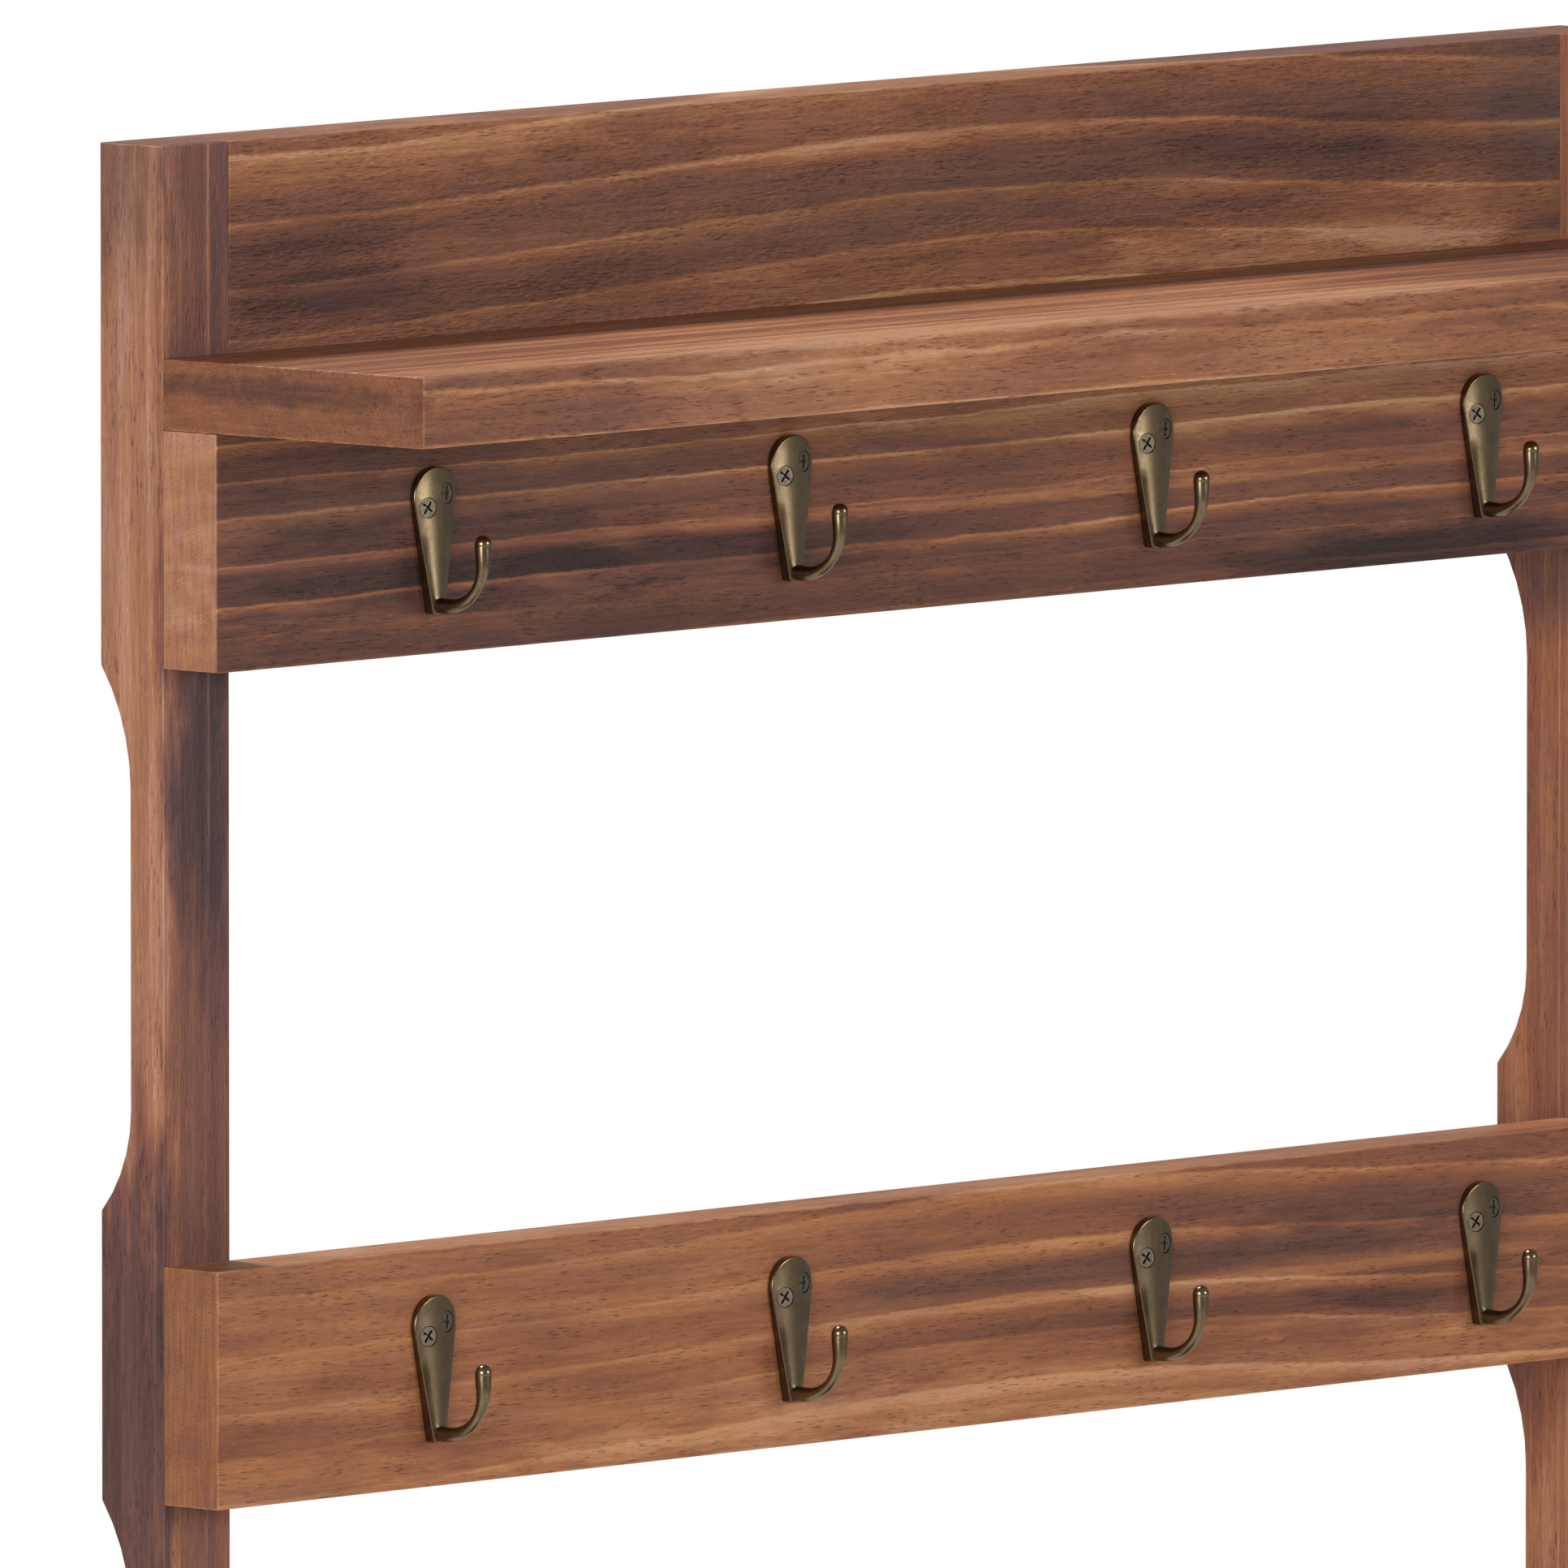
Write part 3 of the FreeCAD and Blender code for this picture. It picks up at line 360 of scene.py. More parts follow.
def grain_group():
    """The shared look of a stained pine board. Place is millimetres along, across and into it."""
    tree = bpy.data.node_groups.new("stained_pine_grain", "ShaderNodeTree")
    for direction, sockets in (("INPUT", GRAIN_INPUTS), ("OUTPUT", GRAIN_OUTPUTS)):
        for name, kind in sockets:
            tree.interface.new_socket(name, in_out=direction, socket_type=kind)
    g = Graph(tree)
    given = g.node("NodeGroupInput").outputs
    result = g.node("NodeGroupOutput").inputs
    field = noise_field(g, given["Place"], given["Seed"])

    rings = growth_rings(g, given, field)
    line, band, vigour = lines_and_bands(g, rings, g.sub(1.0, given["Calm"]), field)
    wavering_rings = g.add(rings, g.mul(field(Sizes.THIN_RING_WAVER), THIN_RING_WAVER_REACH))
    thin_rings = g.math("SINE", g.mul(wavering_rings, math.tau * THIN_RINGS_PER_RING))
    cloud = g.smooth(field(Sizes.CLOUDS, 3.0, 0.55), *Steps.CLOUDS)
    glow = g.smooth(field(Sizes.GLOWS), *Steps.GLOWS)
    fibre = g.mul(field(Sizes.FIBRES, 3.0, 0.65), given["Coarse"])
    hair = field(Sizes.HAIRS)
    grit = field(Sizes.GRIT, 1.0)
    fleck = g.mul(field(Sizes.FLECKS, 1.0), given["Coarse"])
    fleck = g.mul(fleck, g.smooth(field(Sizes.FLECK_PATCHES, 1.0), *Steps.FLECK_PATCHES))

    # The tone on the long faces, then on the ends
    tone = g.sub(given["Tone"], g.mul(band, given["Bands"]))
    tone = g.sub(tone, g.mul(cloud, given["Clouds"]))
    tone = g.add(tone, g.mul(glow, Tones.GLOW))
    tone = g.add(tone, g.mul(thin_rings, Tones.THIN_RING))
    tone = g.add(tone, g.mul(field(Sizes.STREAKS), given["Streaks"]))
    tone = g.add(tone, given["Spots"])
    tone = g.add(tone, g.mul(line, given["Lines"]))
    end_tone = g.sub(given["End tone"], g.mul(band, Tones.BAND_ON_END))
    end_tone = g.add(end_tone, g.mul(field(Sizes.END_STREAKS, 3.0, 0.6), Tones.STREAK_ON_END))
    end_tone = g.add(end_tone, g.mul(given["Spots"], Tones.SPOT_ON_END))
    tone = g.add(tone, g.mul(given["End"], g.sub(end_tone, tone)))
    tone = g.add(tone, g.mul(fibre, Tones.FIBRE))

    # A painted highlight along every edge, and edges rubbed a little lighter in places
    rubbed = g.smooth(field(Sizes.RUBBED_PATCHES), *Steps.RUBBED_PATCHES)
    highlight_and_wear = g.add(Tones.EDGE_HIGHLIGHT, g.mul(rubbed, Tones.RUBBED_EDGE))
    tone = g.add(tone, g.mul(g.smooth(given["Edge"], *Steps.EDGE_MILLIMETRES), highlight_and_wear))

    tint = g.mix(given["End"], given["Tint"], given["End tint"])
    color = g.mix(1.0, stain_color(g, tone), tint, "MULTIPLY")
    purple = g.smooth(field(Sizes.PURPLE_PATCHES, 2.0), *Steps.PURPLE_PATCHES)
    purple_band = g.mul(band, g.math("FRACT", g.mul(vigour, PURPLE_DRAW)))
    purple = g.math("MAXIMUM", purple, purple_band)
    color = g.stained(g.mul(purple, PURPLE_SHARE), color, PURPLE_STAIN)
    grey_share = g.sub(GREY_SHARE, g.mul(given["End"], GREY_LOST_ON_END))
    color = g.stained(g.mul(given["Grey"], grey_share), color, GREY_STAIN)

    # Short pores that lie along the fibres
    pore = field(Sizes.PORES, 1.0)
    pore_place = field(Sizes.PORE_PATCHES, 1.0)
    dark_pore = g.mul(g.smooth(pore, *Steps.DARK_PORES),
                      g.smooth(pore_place, *Steps.DARK_PORE_PATCHES))
    light_pore = g.mul(g.smooth(pore, *Steps.LIGHT_PORES),
                       g.smooth(pore_place, *Steps.LIGHT_PORE_PATCHES))
    shade = g.add(1.0, g.add(g.mul(hair, Shades.HAIR), g.mul(grit, Shades.GRIT)))
    shade = g.add(shade, g.mul(fleck, Shades.FLECK))
    shade = g.mul(shade, g.sub(1.0, g.mul(dark_pore, Shades.DARK_PORE)))
    shade = g.mul(shade, g.add(1.0, g.mul(light_pore, Shades.LIGHT_PORE)))

    height = g.add(g.mul(fibre, Heights.FIBRE), g.mul(hair, Heights.HAIR))
    height = g.add(height, g.mul(fleck, Heights.FLECK))
    height = g.sub(height, g.mul(dark_pore, Heights.DARK_PORE))
    height = g.add(height, g.mul(light_pore, Heights.LIGHT_PORE))
    g.feed(result["Color"], g.brighten(color, shade))
    g.feed(result["Roughness"], g.add(WOOD_ROUGHNESS, g.mul(fibre, FIBRE_ROUGHNESS)))
    g.feed(result["Height"], height)
    return tree


GRAIN = grain_group()

# How a board lies: along, across and into it, each an axis and the side that it is measured from
LYING = {
    "upright_board": (("x", "low"), ("z", "high"), ("y", "low")),
    "flat_board": (("x", "low"), ("y", "low"), ("z", "high")),
    "post": (("z", "high"), ("y", "low"), ("x", "low")),
    "side_board": (("y", "low"), ("z", "high"), ("x", "low")),
}
AXES = "xyz"
WHITE = rgb(1.0, 1.0, 1.0)
# How ragged a spot's border is, as a share of its half size
SPOT_FRAY_REACH = 1.5
# How far a board's seed shifts its noises in each direction
SEED_STEPS = (7.31, 3.17, 5.73)
# Metres that a full height stands out, and how strongly it shows
WOOD_BUMP_DISTANCE = 0.0007
WOOD_BUMP_STRENGTH = 0.9
WOOD_SPECULAR = 0.17


def measured(g, coordinates, low, high, lying):
    """A point's millimetres along, across and into a board, and its margins to the board's faces."""
    parts = g.split(coordinates)
    places = []
    margins = []
    for axis, side in LYING[lying]:
        index = AXES.index(axis)
        from_low = g.mul(g.sub(parts[index], low[index]), MM)
        from_high = g.mul(g.sub(high[index], parts[index]), MM)
        places.append(from_low if side == "low" else from_high)
        margins.append(g.math("MINIMUM", from_low, from_high))
    return places, margins


def edge_distance(g, margins):
    """The distance to the nearest edge of a box, for a point on its surface."""
    total = g.add(g.add(margins[0], margins[1]), margins[2])
    widest = g.math("MAXIMUM", g.math("MAXIMUM", margins[0], margins[1]), margins[2])
    return g.sub(total, widest)


def spot_sum(g, places, place, seed, spots):
    """The sum of soft-edged spots; each is (middle, half sizes, strength)."""
    fray = g.sub(g.noise(g.stretched(place, Sizes.SPOT_FRAY, seed), 3.0, 0.6), 0.5)
    fray = g.mul(fray, SPOT_FRAY_REACH)
    total = 0.0
    for middle, half_sizes, strength in spots:
        squares = 0.0
        for value, centre, half in zip(places, middle, half_sizes):
            step = g.mul(g.sub(value, centre), 1 / half)
            squares = g.add(squares, g.mul(step, step))
        reach = g.add(g.math("SQRT", squares), fray)
        total = g.add(total, g.smooth(reach, *Steps.SPOT_RADIUS, 0.0, strength))
    return total


def pine(node, lying, seed, pith, pitch, tone, shift=0.0, bow=(0.0, 0.0, 700.0), bands=0.24,
         lines=0.24, clouds=0.14, streaks=0.20, coarse=0.8, spots=(), greys=(), calm=(),
         end_tone=0.55, tint=WHITE, end_tint=WHITE):
    """The material of one board, drawn in its own millimetres.

    The rings lie about the pith, given as (across, into), and are bowed along the board by
    (height, middle, length). Spots move the tone, greys take the red out and calm spots weaken
    the lines and bands.
    """
    material, g, shader = new_material(f"pine_{node}")
    low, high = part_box(node)
    coordinates = g.node("ShaderNodeTexCoord")
    places, margins = measured(g, coordinates.outputs["Object"], low, high, lying)
    place = g.vector(*places)
    seed_shift = tuple(seed * step for step in SEED_STEPS)
    grain_axis = AXES.index(LYING[lying][0][0])
    lean = g.math("ABSOLUTE", g.split(coordinates.outputs["Normal"])[grain_axis])
    bow_height, bow_middle, bow_length = bow
    values = {
        "Place": place,
        "Seed": seed_shift,
        "Pith": (0.0, *pith),
        "Ring pitch": pitch,
        "Ring shift": shift,
        "Bow": bow_height,
        "Bow middle": bow_middle,
        "Bow length": bow_length,
        "Tone": tone,
        "Bands": bands,
        "Lines": lines,
        "Clouds": clouds,
        "Streaks": streaks,
        "Coarse": coarse,
        "Spots": spot_sum(g, places, place, seed_shift, spots),
        "Grey": spot_sum(g, places, place, seed_shift, greys),
        "Calm": spot_sum(g, places, place, seed_shift, calm),
        "End": g.smooth(lean, *Steps.END_GRAIN),
        "End tone": end_tone,
        "End tint": end_tint,
        "Edge": edge_distance(g, margins),
        "Tint": tint,
    }
    wood = g.node("ShaderNodeGroup", node_tree=GRAIN)
    for name, value in values.items():
        g.feed(wood.inputs[name], value)
    bump = g.bump(wood.outputs["Height"], WOOD_BUMP_DISTANCE, WOOD_BUMP_STRENGTH)
    g.feed(shader.inputs["Base Color"], wood.outputs["Color"])
    g.feed(shader.inputs["Roughness"], wood.outputs["Roughness"])
    g.feed(shader.inputs["Normal"], bump)
    shader.inputs["Specular IOR Level"].default_value = WOOD_SPECULAR
    dress(node, material)


# Each spot: its middle and half sizes in millimetres along, across and into the board, and its
# strength. THROUGH is a half size that takes a spot through the whole thickness.
THROUGH = 60
pine("top_board", "upright_board", seed=1, pith=(-160.0, 40.0), pitch=19.0, tone=0.60, shift=0.4,
     bow=(14.0, 365.0, 730.0), bands=0.20, lines=0.28, clouds=0.06, streaks=0.16, coarse=1.0,
     tint=rgb(1.0, 1.02, 1.06),
     spots=(
         ((50, 8, 0), (150, 18, THROUGH), 0.16),
         ((300, 4, 0), (230, 20, THROUGH), 0.14),
         ((600, 72, 0), (150, 20, THROUGH), 0.30),
         ((300, 74, 0), (240, 16, THROUGH), 0.08),
         ((200, 40, 0), (90, 12, THROUGH), 0.08),
         ((42, 36, 0), (62, 8, THROUGH), -0.16),
         ((42, 54, 0), (66, 8, THROUGH), -0.26),
         ((548, 28, 0), (72, 10, THROUGH), -0.16),
         ((560, 50, 0), (66, 9, THROUGH), -0.12),
         ((684, 30, 0), (34, 30, THROUGH), -0.10),
         ((690, 70, 0), (30, 7, THROUGH), -0.34),
         ((642, 47, 0), (30, 4, THROUGH), 0.13),
         ((626, 66, 0), (44, 7, THROUGH), 0.06),
         ((440, 67, 0), (170, 6, THROUGH), 0.10),
     ),
     greys=(
         ((684, 24, 0), (36, 26, THROUGH), 1.0),
         ((330, 40, 0), (200, 16, THROUGH), 0.45),
     ))
pine("top_shelf", "flat_board", seed=2, pith=(-120.0, -90.0), pitch=12.0, tone=0.81,
     bands=0.20, lines=0.22, clouds=0.06, streaks=0.26, coarse=0.6,
     spots=(
         ((0, 75, 9), (8, 80, 5), -0.44),
         ((40, 0, 14), (100, 9, 22), -0.20),
         ((300, 0, 9), (230, 6, 14), 0.04),
         ((690, 0, 8), (150, 9, 22), -0.14),
         # Painted shadow of the top board along the back of the shelf's top face
         ((350, 130, 0), (900, 54, 1.6), -0.16),
         ((60, 60, 0), (120, 40, 9), -0.06),
         # Painted sheen: the shelf's top face lighter towards its front edge
         ((330, 12, 0), (300, 34, 2), 0.20),
         ((350, 66, 0), (900, 1.3, 1.5), 0.26),
         ((350, 52, 0), (900, 2.0, 1.5), -0.22),
         ((350, 36, 0), (900, 1.6, 1.5), -0.20),
         ((350, 44, 0), (900, 1.2, 1.5), 0.16),
         # Painted shade: the shelf's top face darker at its right end, by the right post
         ((690, 40, 0), (150, 70, 2), -0.24),
         ((480, 0, 9), (260, 10, 5), -0.16),
     ),
     end_tone=0.62, tint=rgb(1.0, 1.0, 1.02))
pine("upper_hook_rail", "upright_board", seed=3, pith=(-150.0, 60.0), pitch=13.0, tone=0.60,
     shift=0.2, bow=(-6.0, 100.0, 1300.0), bands=0.26, lines=0.28, clouds=0.08, streaks=0.14,
     coarse=0.4,
     spots=(
         ((110, 50, 0), (120, 18, THROUGH), -0.28),
         ((70, 28, 0), (110, 10, THROUGH), -0.12),
         ((250, 56, 0), (125, 8, THROUGH), -0.22),
         ((620, 78, 0), (85, 9, THROUGH), -0.24),
         ((60, 14, 0), (100, 8, THROUGH), -0.14),
         ((560, 12, 0), (260, 20, THROUGH), 0.30),
         ((600, 48, 0), (170, 10, THROUGH), 0.08),
         ((420, 47, 0), (700, 1.8, THROUGH), 0.18),
         ((381, 88, 0), (900, 24, THROUGH), -0.25),
     ),
     greys=(
         ((120, 20, 0), (150, 16, THROUGH), 0.7),
         ((480, 20, 0), (200, 14, THROUGH), 0.5),
     ),
     calm=(((250, 78, 0), (600, 13, THROUGH), 0.6),),
     end_tone=0.90, tint=rgb(0.98, 0.98, 1.0), end_tint=rgb(1.02, 1.04, 1.22))
pine("lower_hook_rail", "upright_board", seed=4, pith=(-150.0, 60.0), pitch=17.0, tone=0.77,
     shift=0.7, bow=(-12.0, 40.0, 760.0), bands=0.26, lines=0.16, clouds=0.10, streaks=0.22,
     coarse=0.45,
     spots=(
         ((510, 31, 0), (190, 7, THROUGH), -0.24),
         ((470, 52, 0), (190, 5, THROUGH), -0.22),
         ((640, 50, 0), (60, 9, THROUGH), -0.20),
         ((560, 41, 0), (220, 2.2, THROUGH), 0.16),
         ((190, 48, 0), (110, 16, THROUGH), -0.04),
         ((620, 20, 0), (100, 12, THROUGH), -0.18),
         ((60, 62, 0), (90, 8, THROUGH), -0.10),
         ((420, 0, 12), (420, 0.8, 22), 0.20),
         ((440, 74, 0), (330, 10, THROUGH), 0.22),
     ),
     greys=(((500, 33, 0), (190, 9, THROUGH), 0.5),),
     calm=(((110, 40, 0), (250, 90, THROUGH), 0.55),),
     end_tone=0.66, tint=rgb(1.0, 0.95, 0.90))
pine("left_post", "post", seed=5, pith=(60.0, 120.0), pitch=6.0, tone=0.84,
     bands=0.10, lines=0.06, clouds=0.05, streaks=0.09, coarse=0.5,
     spots=(
         ((0, 26, 0), (46, 22, 6), -0.24),
         ((60, 0, 20), (120, 6, 30), -0.08),
         ((450, 15, 0), (110, 40, 4), -0.50),
         ((50, 0, 23), (260, 6, 0.8), 0.32),
         ((50, 0, 35), (260, 6, 0.8), 0.28),
         ((300, 0, 22), (600, 6, 22), -0.34),
         ((228, 0, 22), (62, 7, 19), -0.30),
     ),
     greys=(
         ((450, 15, 0), (80, 30, 4), 0.9),
         ((0, 24, 0), (56, 26, 6), 1.0),
         ((225, 0, 20), (56, 6, 17), 0.9),
     ),
     tint=rgb(1.0, 1.04, 1.30))
pine("right_post", "post", seed=6, pith=(60.0, -120.0), pitch=6.0, tone=0.72,
     bands=0.10, lines=0.05, clouds=0.08, streaks=0.08, coarse=0.5,
     spots=(
         ((190, 15, 0), (22, 30, 18), -0.24),
         ((445, 15, 0), (60, 30, 14), -0.20),
     ),
     greys=(((190, 15, 0), (24, 30, 18), 0.7),),
     tint=rgb(1.0, 0.96, 1.05))

OTHER_TIMBERS = {
    "post": ("left_front_leg", "right_front_leg"),
    "upright_board": ("front_apron", "back_apron"),
    "flat_board": ("seat_board_1", "seat_board_2", "seat_board_3", "seat_board_4",
                   "shoe_slat_1", "shoe_slat_2", "shoe_slat_3", "shoe_slat_4"),
    "side_board": ("left_side_apron", "right_side_apron", "left_shoe_rail", "right_shoe_rail",
                   "left_seat_cleat", "right_seat_cleat", "seat_bearer", "shoe_shelf_batten"),
}
FIRST_OTHER_SEED = 10
# The other boards take one of four tones and ring pitches in turn; their pith and bow vary too
VARIETIES = 4
others = [(lying, node) for lying, nodes in OTHER_TIMBERS.items() for node in nodes]
for seed, (lying, node) in enumerate(others, FIRST_OTHER_SEED):
    kind = seed % VARIETIES
    pine(node, lying, seed, pith=(-90.0 - 12 * (seed % 5), 30.0 + 9 * kind), pitch=9.0 + kind,
         tone=0.60 + 0.07 * kind, bow=(6.0 - seed % 13, 300.0, 800.0), clouds=0.20, end_tone=0.70)

# ---------------------------------------------------------------- metals, dowels and glides

# Metres within which painted shade darkens the metal where surfaces close in on each other
PAINTED_SHADE_REACH = 0.0009
PAINTED_SHADE_SAMPLES = 8
PAINTED_SHADE_STEP = (0.35, 0.85, 0.12, 1.0)
SCRATCH_SIZES = (0.00025, 0.00025, 0.006)
TARNISH_STEP = (0.38, 0.66)
SPECKS_PER_TARNISH = 6
PLAIN_STREAK_STEP = (0.35, 0.68)
PLAIN_SPECK_SIZES = (0.0004, 0.0004, 0.0004)
PLAIN_RELIEF = 0.00008
FINE_BUMP_STRENGTH = 0.6


def mottled(g, color, speck, spread):
    """A colour that fine specks brighten and darken, with a spread about it."""
    return g.brighten(color, g.add(1.0 - spread / 2, g.mul(speck, spread)))


def swayed(g, level, noise, spread):
    """A level that a noise moves up and down by half of a spread."""
    return g.add(level, g.mul(g.sub(noise, 0.5), spread))


def metal(name, nodes, tone, tarnish, roughness, tarnish_size, tarnish_amount=0.6, relief=0.00012):
    """A worn metal: mottled tarnish of a size in millimetres, fine scratches, and painted shade
    darkening its cavities.
    """
    material, g, shader = new_material(name)
    place = g.node("ShaderNodeTexCoord").outputs["Object"]
    sizes = [tarnish_size / MM] * 3
    speck_sizes = [size / SPECKS_PER_TARNISH for size in sizes]
    mottle = g.noise(g.stretched(place, sizes, (3.1, 4.7, 1.9)), 4.0, 0.6)
    speck = g.noise(g.stretched(place, speck_sizes, (9.1, 2.7, 5.3)), 2.0)
    brushed = g.noise(g.stretched(place, SCRATCH_SIZES, (1.0, 2.0, 3.0)), 2.0)
    color = g.mix(g.mul(g.smooth(mottle, *TARNISH_STEP), tarnish_amount), tone, tarnish)
    color = mottled(g, color, speck, 0.24)
    # Painted shade: the colour darkens where ambient occlusion finds surfaces close together
    cavity_shade = g.node("ShaderNodeAmbientOcclusion", samples=PAINTED_SHADE_SAMPLES, only_local=False)
    cavity_shade.inputs["Distance"].default_value = PAINTED_SHADE_REACH
    color = g.brighten(color, g.smooth(cavity_shade.outputs["AO"], *PAINTED_SHADE_STEP))
    rough = swayed(g, swayed(g, roughness, mottle, 0.22), brushed, 0.08)
    height = g.add(g.mul(mottle, 0.5), g.add(g.mul(speck, 0.3), g.mul(brushed, 0.2)))
    g.feed(shader.inputs["Base Color"], color)
    g.feed(shader.inputs["Roughness"], rough)
    g.feed(shader.inputs["Normal"], g.bump(height, relief, FINE_BUMP_STRENGTH))
    shader.inputs["Metallic"].default_value = 1.0
    for node in nodes:
        dress(node, material)


def plain_finish(name, nodes, tone, dark, roughness, streak_sizes):
    """A non-metal finish with streaks of a darker tone, their sizes in millimetres."""
    material, g, shader = new_material(name)
    place = g.node("ShaderNodeTexCoord").outputs["Object"]
    sizes = [size / MM for size in streak_sizes]
    streak = g.noise(g.stretched(place, sizes, (2.0, 5.0, 7.0)), 3.0)
    speck = g.noise(g.stretched(place, PLAIN_SPECK_SIZES, (1.0, 8.0, 4.0)), 2.0)
    color = mottled(g, g.mix(g.smooth(streak, *PLAIN_STREAK_STEP), tone, dark), speck, 0.2)
    bump = g.bump(g.add(streak, speck), PLAIN_RELIEF, FINE_BUMP_STRENGTH)
    g.feed(shader.inputs["Base Color"], color)
    g.feed(shader.inputs["Roughness"], swayed(g, roughness, speck, 0.2))
    g.feed(shader.inputs["Normal"], bump)
    for node in nodes:
        dress(node, material)


HOOKS = [f"{row}_hook_{n}" for row in ("upper", "lower") for n in (1, 2, 3, 4)]
metal("antique_brass", HOOKS, tone=rgb(0.190, 0.137, 0.080), tarnish=rgb(0.110, 0.074, 0.043),
      roughness=0.25, tarnish_size=9.0, tarnish_amount=0.5, relief=0.00005)
metal("bronzed_screws", ["upper_hook_screws", "lower_hook_screws"], tone=rgb(0.150, 0.118, 0.085),
      tarnish=rgb(0.085, 0.065, 0.050), roughness=0.42, tarnish_size=1.5)
metal("zinc_steel", ["upper_hook_rail_screws", "lower_hook_rail_screws", "shelf_screws", "cleat_screws",
                     "seat_screws", "slat_screws", "batten_screws", "barrel_nuts"],
      tone=rgb(0.62, 0.62, 0.60), tarnish=rgb(0.40, 0.41, 0.42), roughness=0.30, tarnish_size=2.0,
      tarnish_amount=0.5)
metal("black_bolts", ["frame_bolts"], tone=rgb(0.10, 0.10, 0.10), tarnish=rgb(0.04, 0.04, 0.04),
      roughness=0.38, tarnish_size=2.0)
plain_finish("beech_dowels", ["top_board_dowels", "apron_dowels", "side_frame_dowels"],
             tone=rgb(0.62, 0.42, 0.24), dark=rgb(0.48, 0.30, 0.16), roughness=0.6,
             streak_sizes=(9.0, 0.7, 0.7))
plain_finish("dark_nylon", ["foot_glides"], tone=rgb(0.035, 0.032, 0.030),
             dark=rgb(0.018, 0.017, 0.016), roughness=0.5, streak_sizes=(3.0, 3.0, 3.0))

# ---------------------------------------------------------------- floor, light and camera

# The floor, in metres: its radius, where it starts to fade and where it has become white
FLOOR_RADIUS = 4.0
FADE_START = 1.3
FADE_END = 0.95 * FLOOR_RADIUS
FLOOR_SIDES = 128
FLOOR_COLOR = rgb(0.80, 0.80, 0.795)
FLOOR_ROUGHNESS = 0.55
DUST_SIZES = (0.012, 0.012, 0.012)
BROAD_SIZES = (0.45, 0.45, 0.45)

# Light from all around, as a share of the white that the camera sees
SURROUNDING_LIGHT = 0.36
# Name, place, target, width in metres and power in watts of each light
STUDIO_LIGHTS = (
    ("key", (1.6, -4.2, 2.3), (0, 0, 1.35), 1.8, 95.0),
    ("left_fill", (-4.4, -1.4, 1.9), (0, 0, 1.35), 2.4, 150.0),
    ("top_behind", (0.0, 1.75, 5.0), (0, 0.1, 1.6), 0.5, 150.0),
)


def pale_floor():
    """A round pale floor that fades into the white around it."""
    bpy.ops.mesh.primitive_circle_add(vertices=FLOOR_SIDES, radius=FLOOR_RADIUS, fill_type="NGON")
    floor = bpy.context.object
    floor.name = "floor"
    material, g, shader = new_material("pale_floor")
    place = g.node("ShaderNodeTexCoord").outputs["Object"]
    dust = g.noise(g.stretched(place, DUST_SIZES, (0.0, 0.0, 0.0)), 4.0, 0.6)
    broad = g.noise(g.stretched(place, BROAD_SIZES, (4.0, 1.0, 0.0)), 2.0)
    tint = g.add(0.95, g.add(g.mul(dust, 0.05), g.mul(broad, 0.05)))
    g.feed(shader.inputs["Base Color"], g.brighten(FLOOR_COLOR, tint))
    g.feed(shader.inputs["Roughness"], g.add(FLOOR_ROUGHNESS, g.mul(dust, 0.2)))
    white = g.node("ShaderNodeEmission")
    white.inputs["Color"].default_value = WHITE
    length = g.node("ShaderNodeVectorMath", operation="LENGTH")
    g.feed(length.inputs[0], place)
    blend = g.node("ShaderNodeMixShader")
    fade = g.smooth(length.outputs["Value"], FADE_START, FADE_END)
    for socket, value in zip(blend.inputs, (fade, shader.outputs[0], white.outputs[0])):
        g.feed(socket, value)
    g.feed(g.tree.nodes["Material Output"].inputs["Surface"], blend.outputs[0])
    floor.data.materials.append(material)


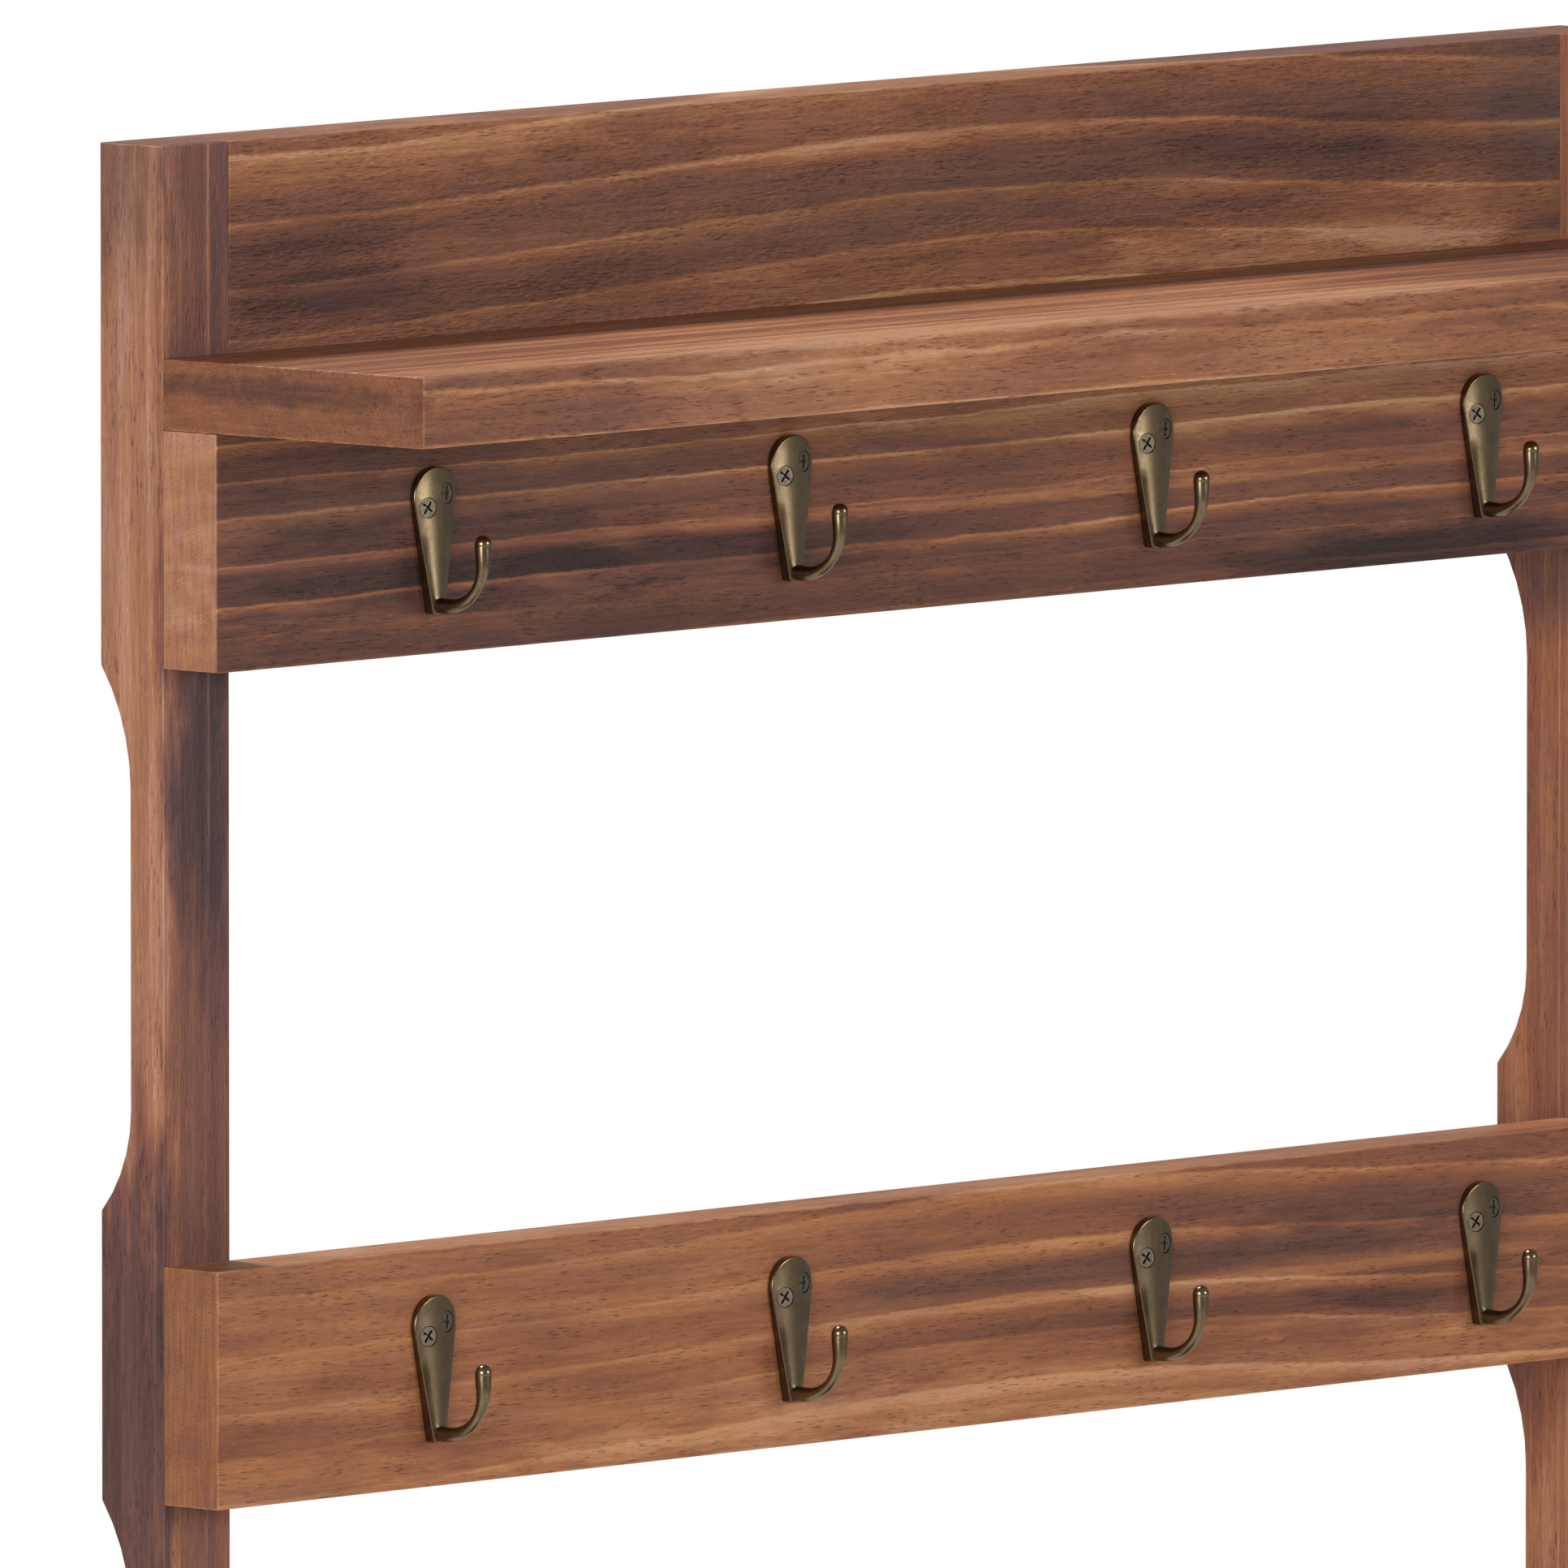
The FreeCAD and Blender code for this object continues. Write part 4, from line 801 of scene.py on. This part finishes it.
def white_surroundings():
    """White behind the object, and a softer even light from all around."""
    world = bpy.data.worlds.new("white_studio")
    bpy.context.scene.world = world
    world.use_nodes = True
    g = Graph(world.node_tree)
    seen = g.node("ShaderNodeLightPath").outputs["Is Camera Ray"]
    background = g.tree.nodes["Background"]
    background.inputs["Color"].default_value = WHITE
    strength = g.smooth(seen, 0.0, 1.0, SURROUNDING_LIGHT, 1.0)
    g.feed(background.inputs["Strength"], strength)


def soft_light(name, place, target, size, power):
    """A round area light that faces its target."""
    data = bpy.data.lights.new(name, "AREA")
    data.shape = "DISK"
    data.size = size
    data.energy = power
    lamp = bpy.data.objects.new(name, data)
    bpy.context.scene.collection.objects.link(lamp)
    lamp.location = place
    lamp.rotation_euler = (Vector(target) - Vector(place)).to_track_quat("-Z", "Y").to_euler()


pale_floor()
white_surroundings()
for light in STUDIO_LIGHTS:
    soft_light(*light)

# The camera: radians for its angles, millimetres for the lens and sensor, metres for the rest
YAW = math.radians(47.805)
PITCH_DOWN = math.radians(5.054)
LENS = 1039.6
SENSOR_WIDTH = 36.0
DISTANCE = 15.5524
CLIP_START = 0.1
CLIP_END = 200.0
# How far the aim lies to the right of the left post's outer front top corner, and below it
AIM_RIGHT = 0.21344
AIM_BELOW = 0.21895


def camera():
    """A long lens aimed at the top part, from a corner of the left post."""
    forward = Vector((
        math.sin(YAW) * math.cos(PITCH_DOWN),
        math.cos(YAW) * math.cos(PITCH_DOWN),
        -math.sin(PITCH_DOWN),
    ))
    right = Vector((math.cos(YAW), -math.sin(YAW), 0.0))
    up = right.cross(forward)
    low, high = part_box("left_post")
    corner = Vector((low.x, low.y, high.z))
    aim = corner + right * AIM_RIGHT - up * AIM_BELOW
    data = bpy.data.cameras.new("camera")
    data.sensor_width = SENSOR_WIDTH
    data.lens = LENS
    data.clip_start = CLIP_START
    data.clip_end = CLIP_END
    eye = bpy.data.objects.new("camera", data)
    bpy.context.scene.collection.objects.link(eye)
    eye.location = aim - forward * DISTANCE
    eye.rotation_euler = forward.to_track_quat("-Z", "Y").to_euler()
    bpy.context.scene.camera = eye


camera()
bpy.context.scene.view_settings.view_transform = "Standard"
bpy.context.scene.view_settings.look = "None"
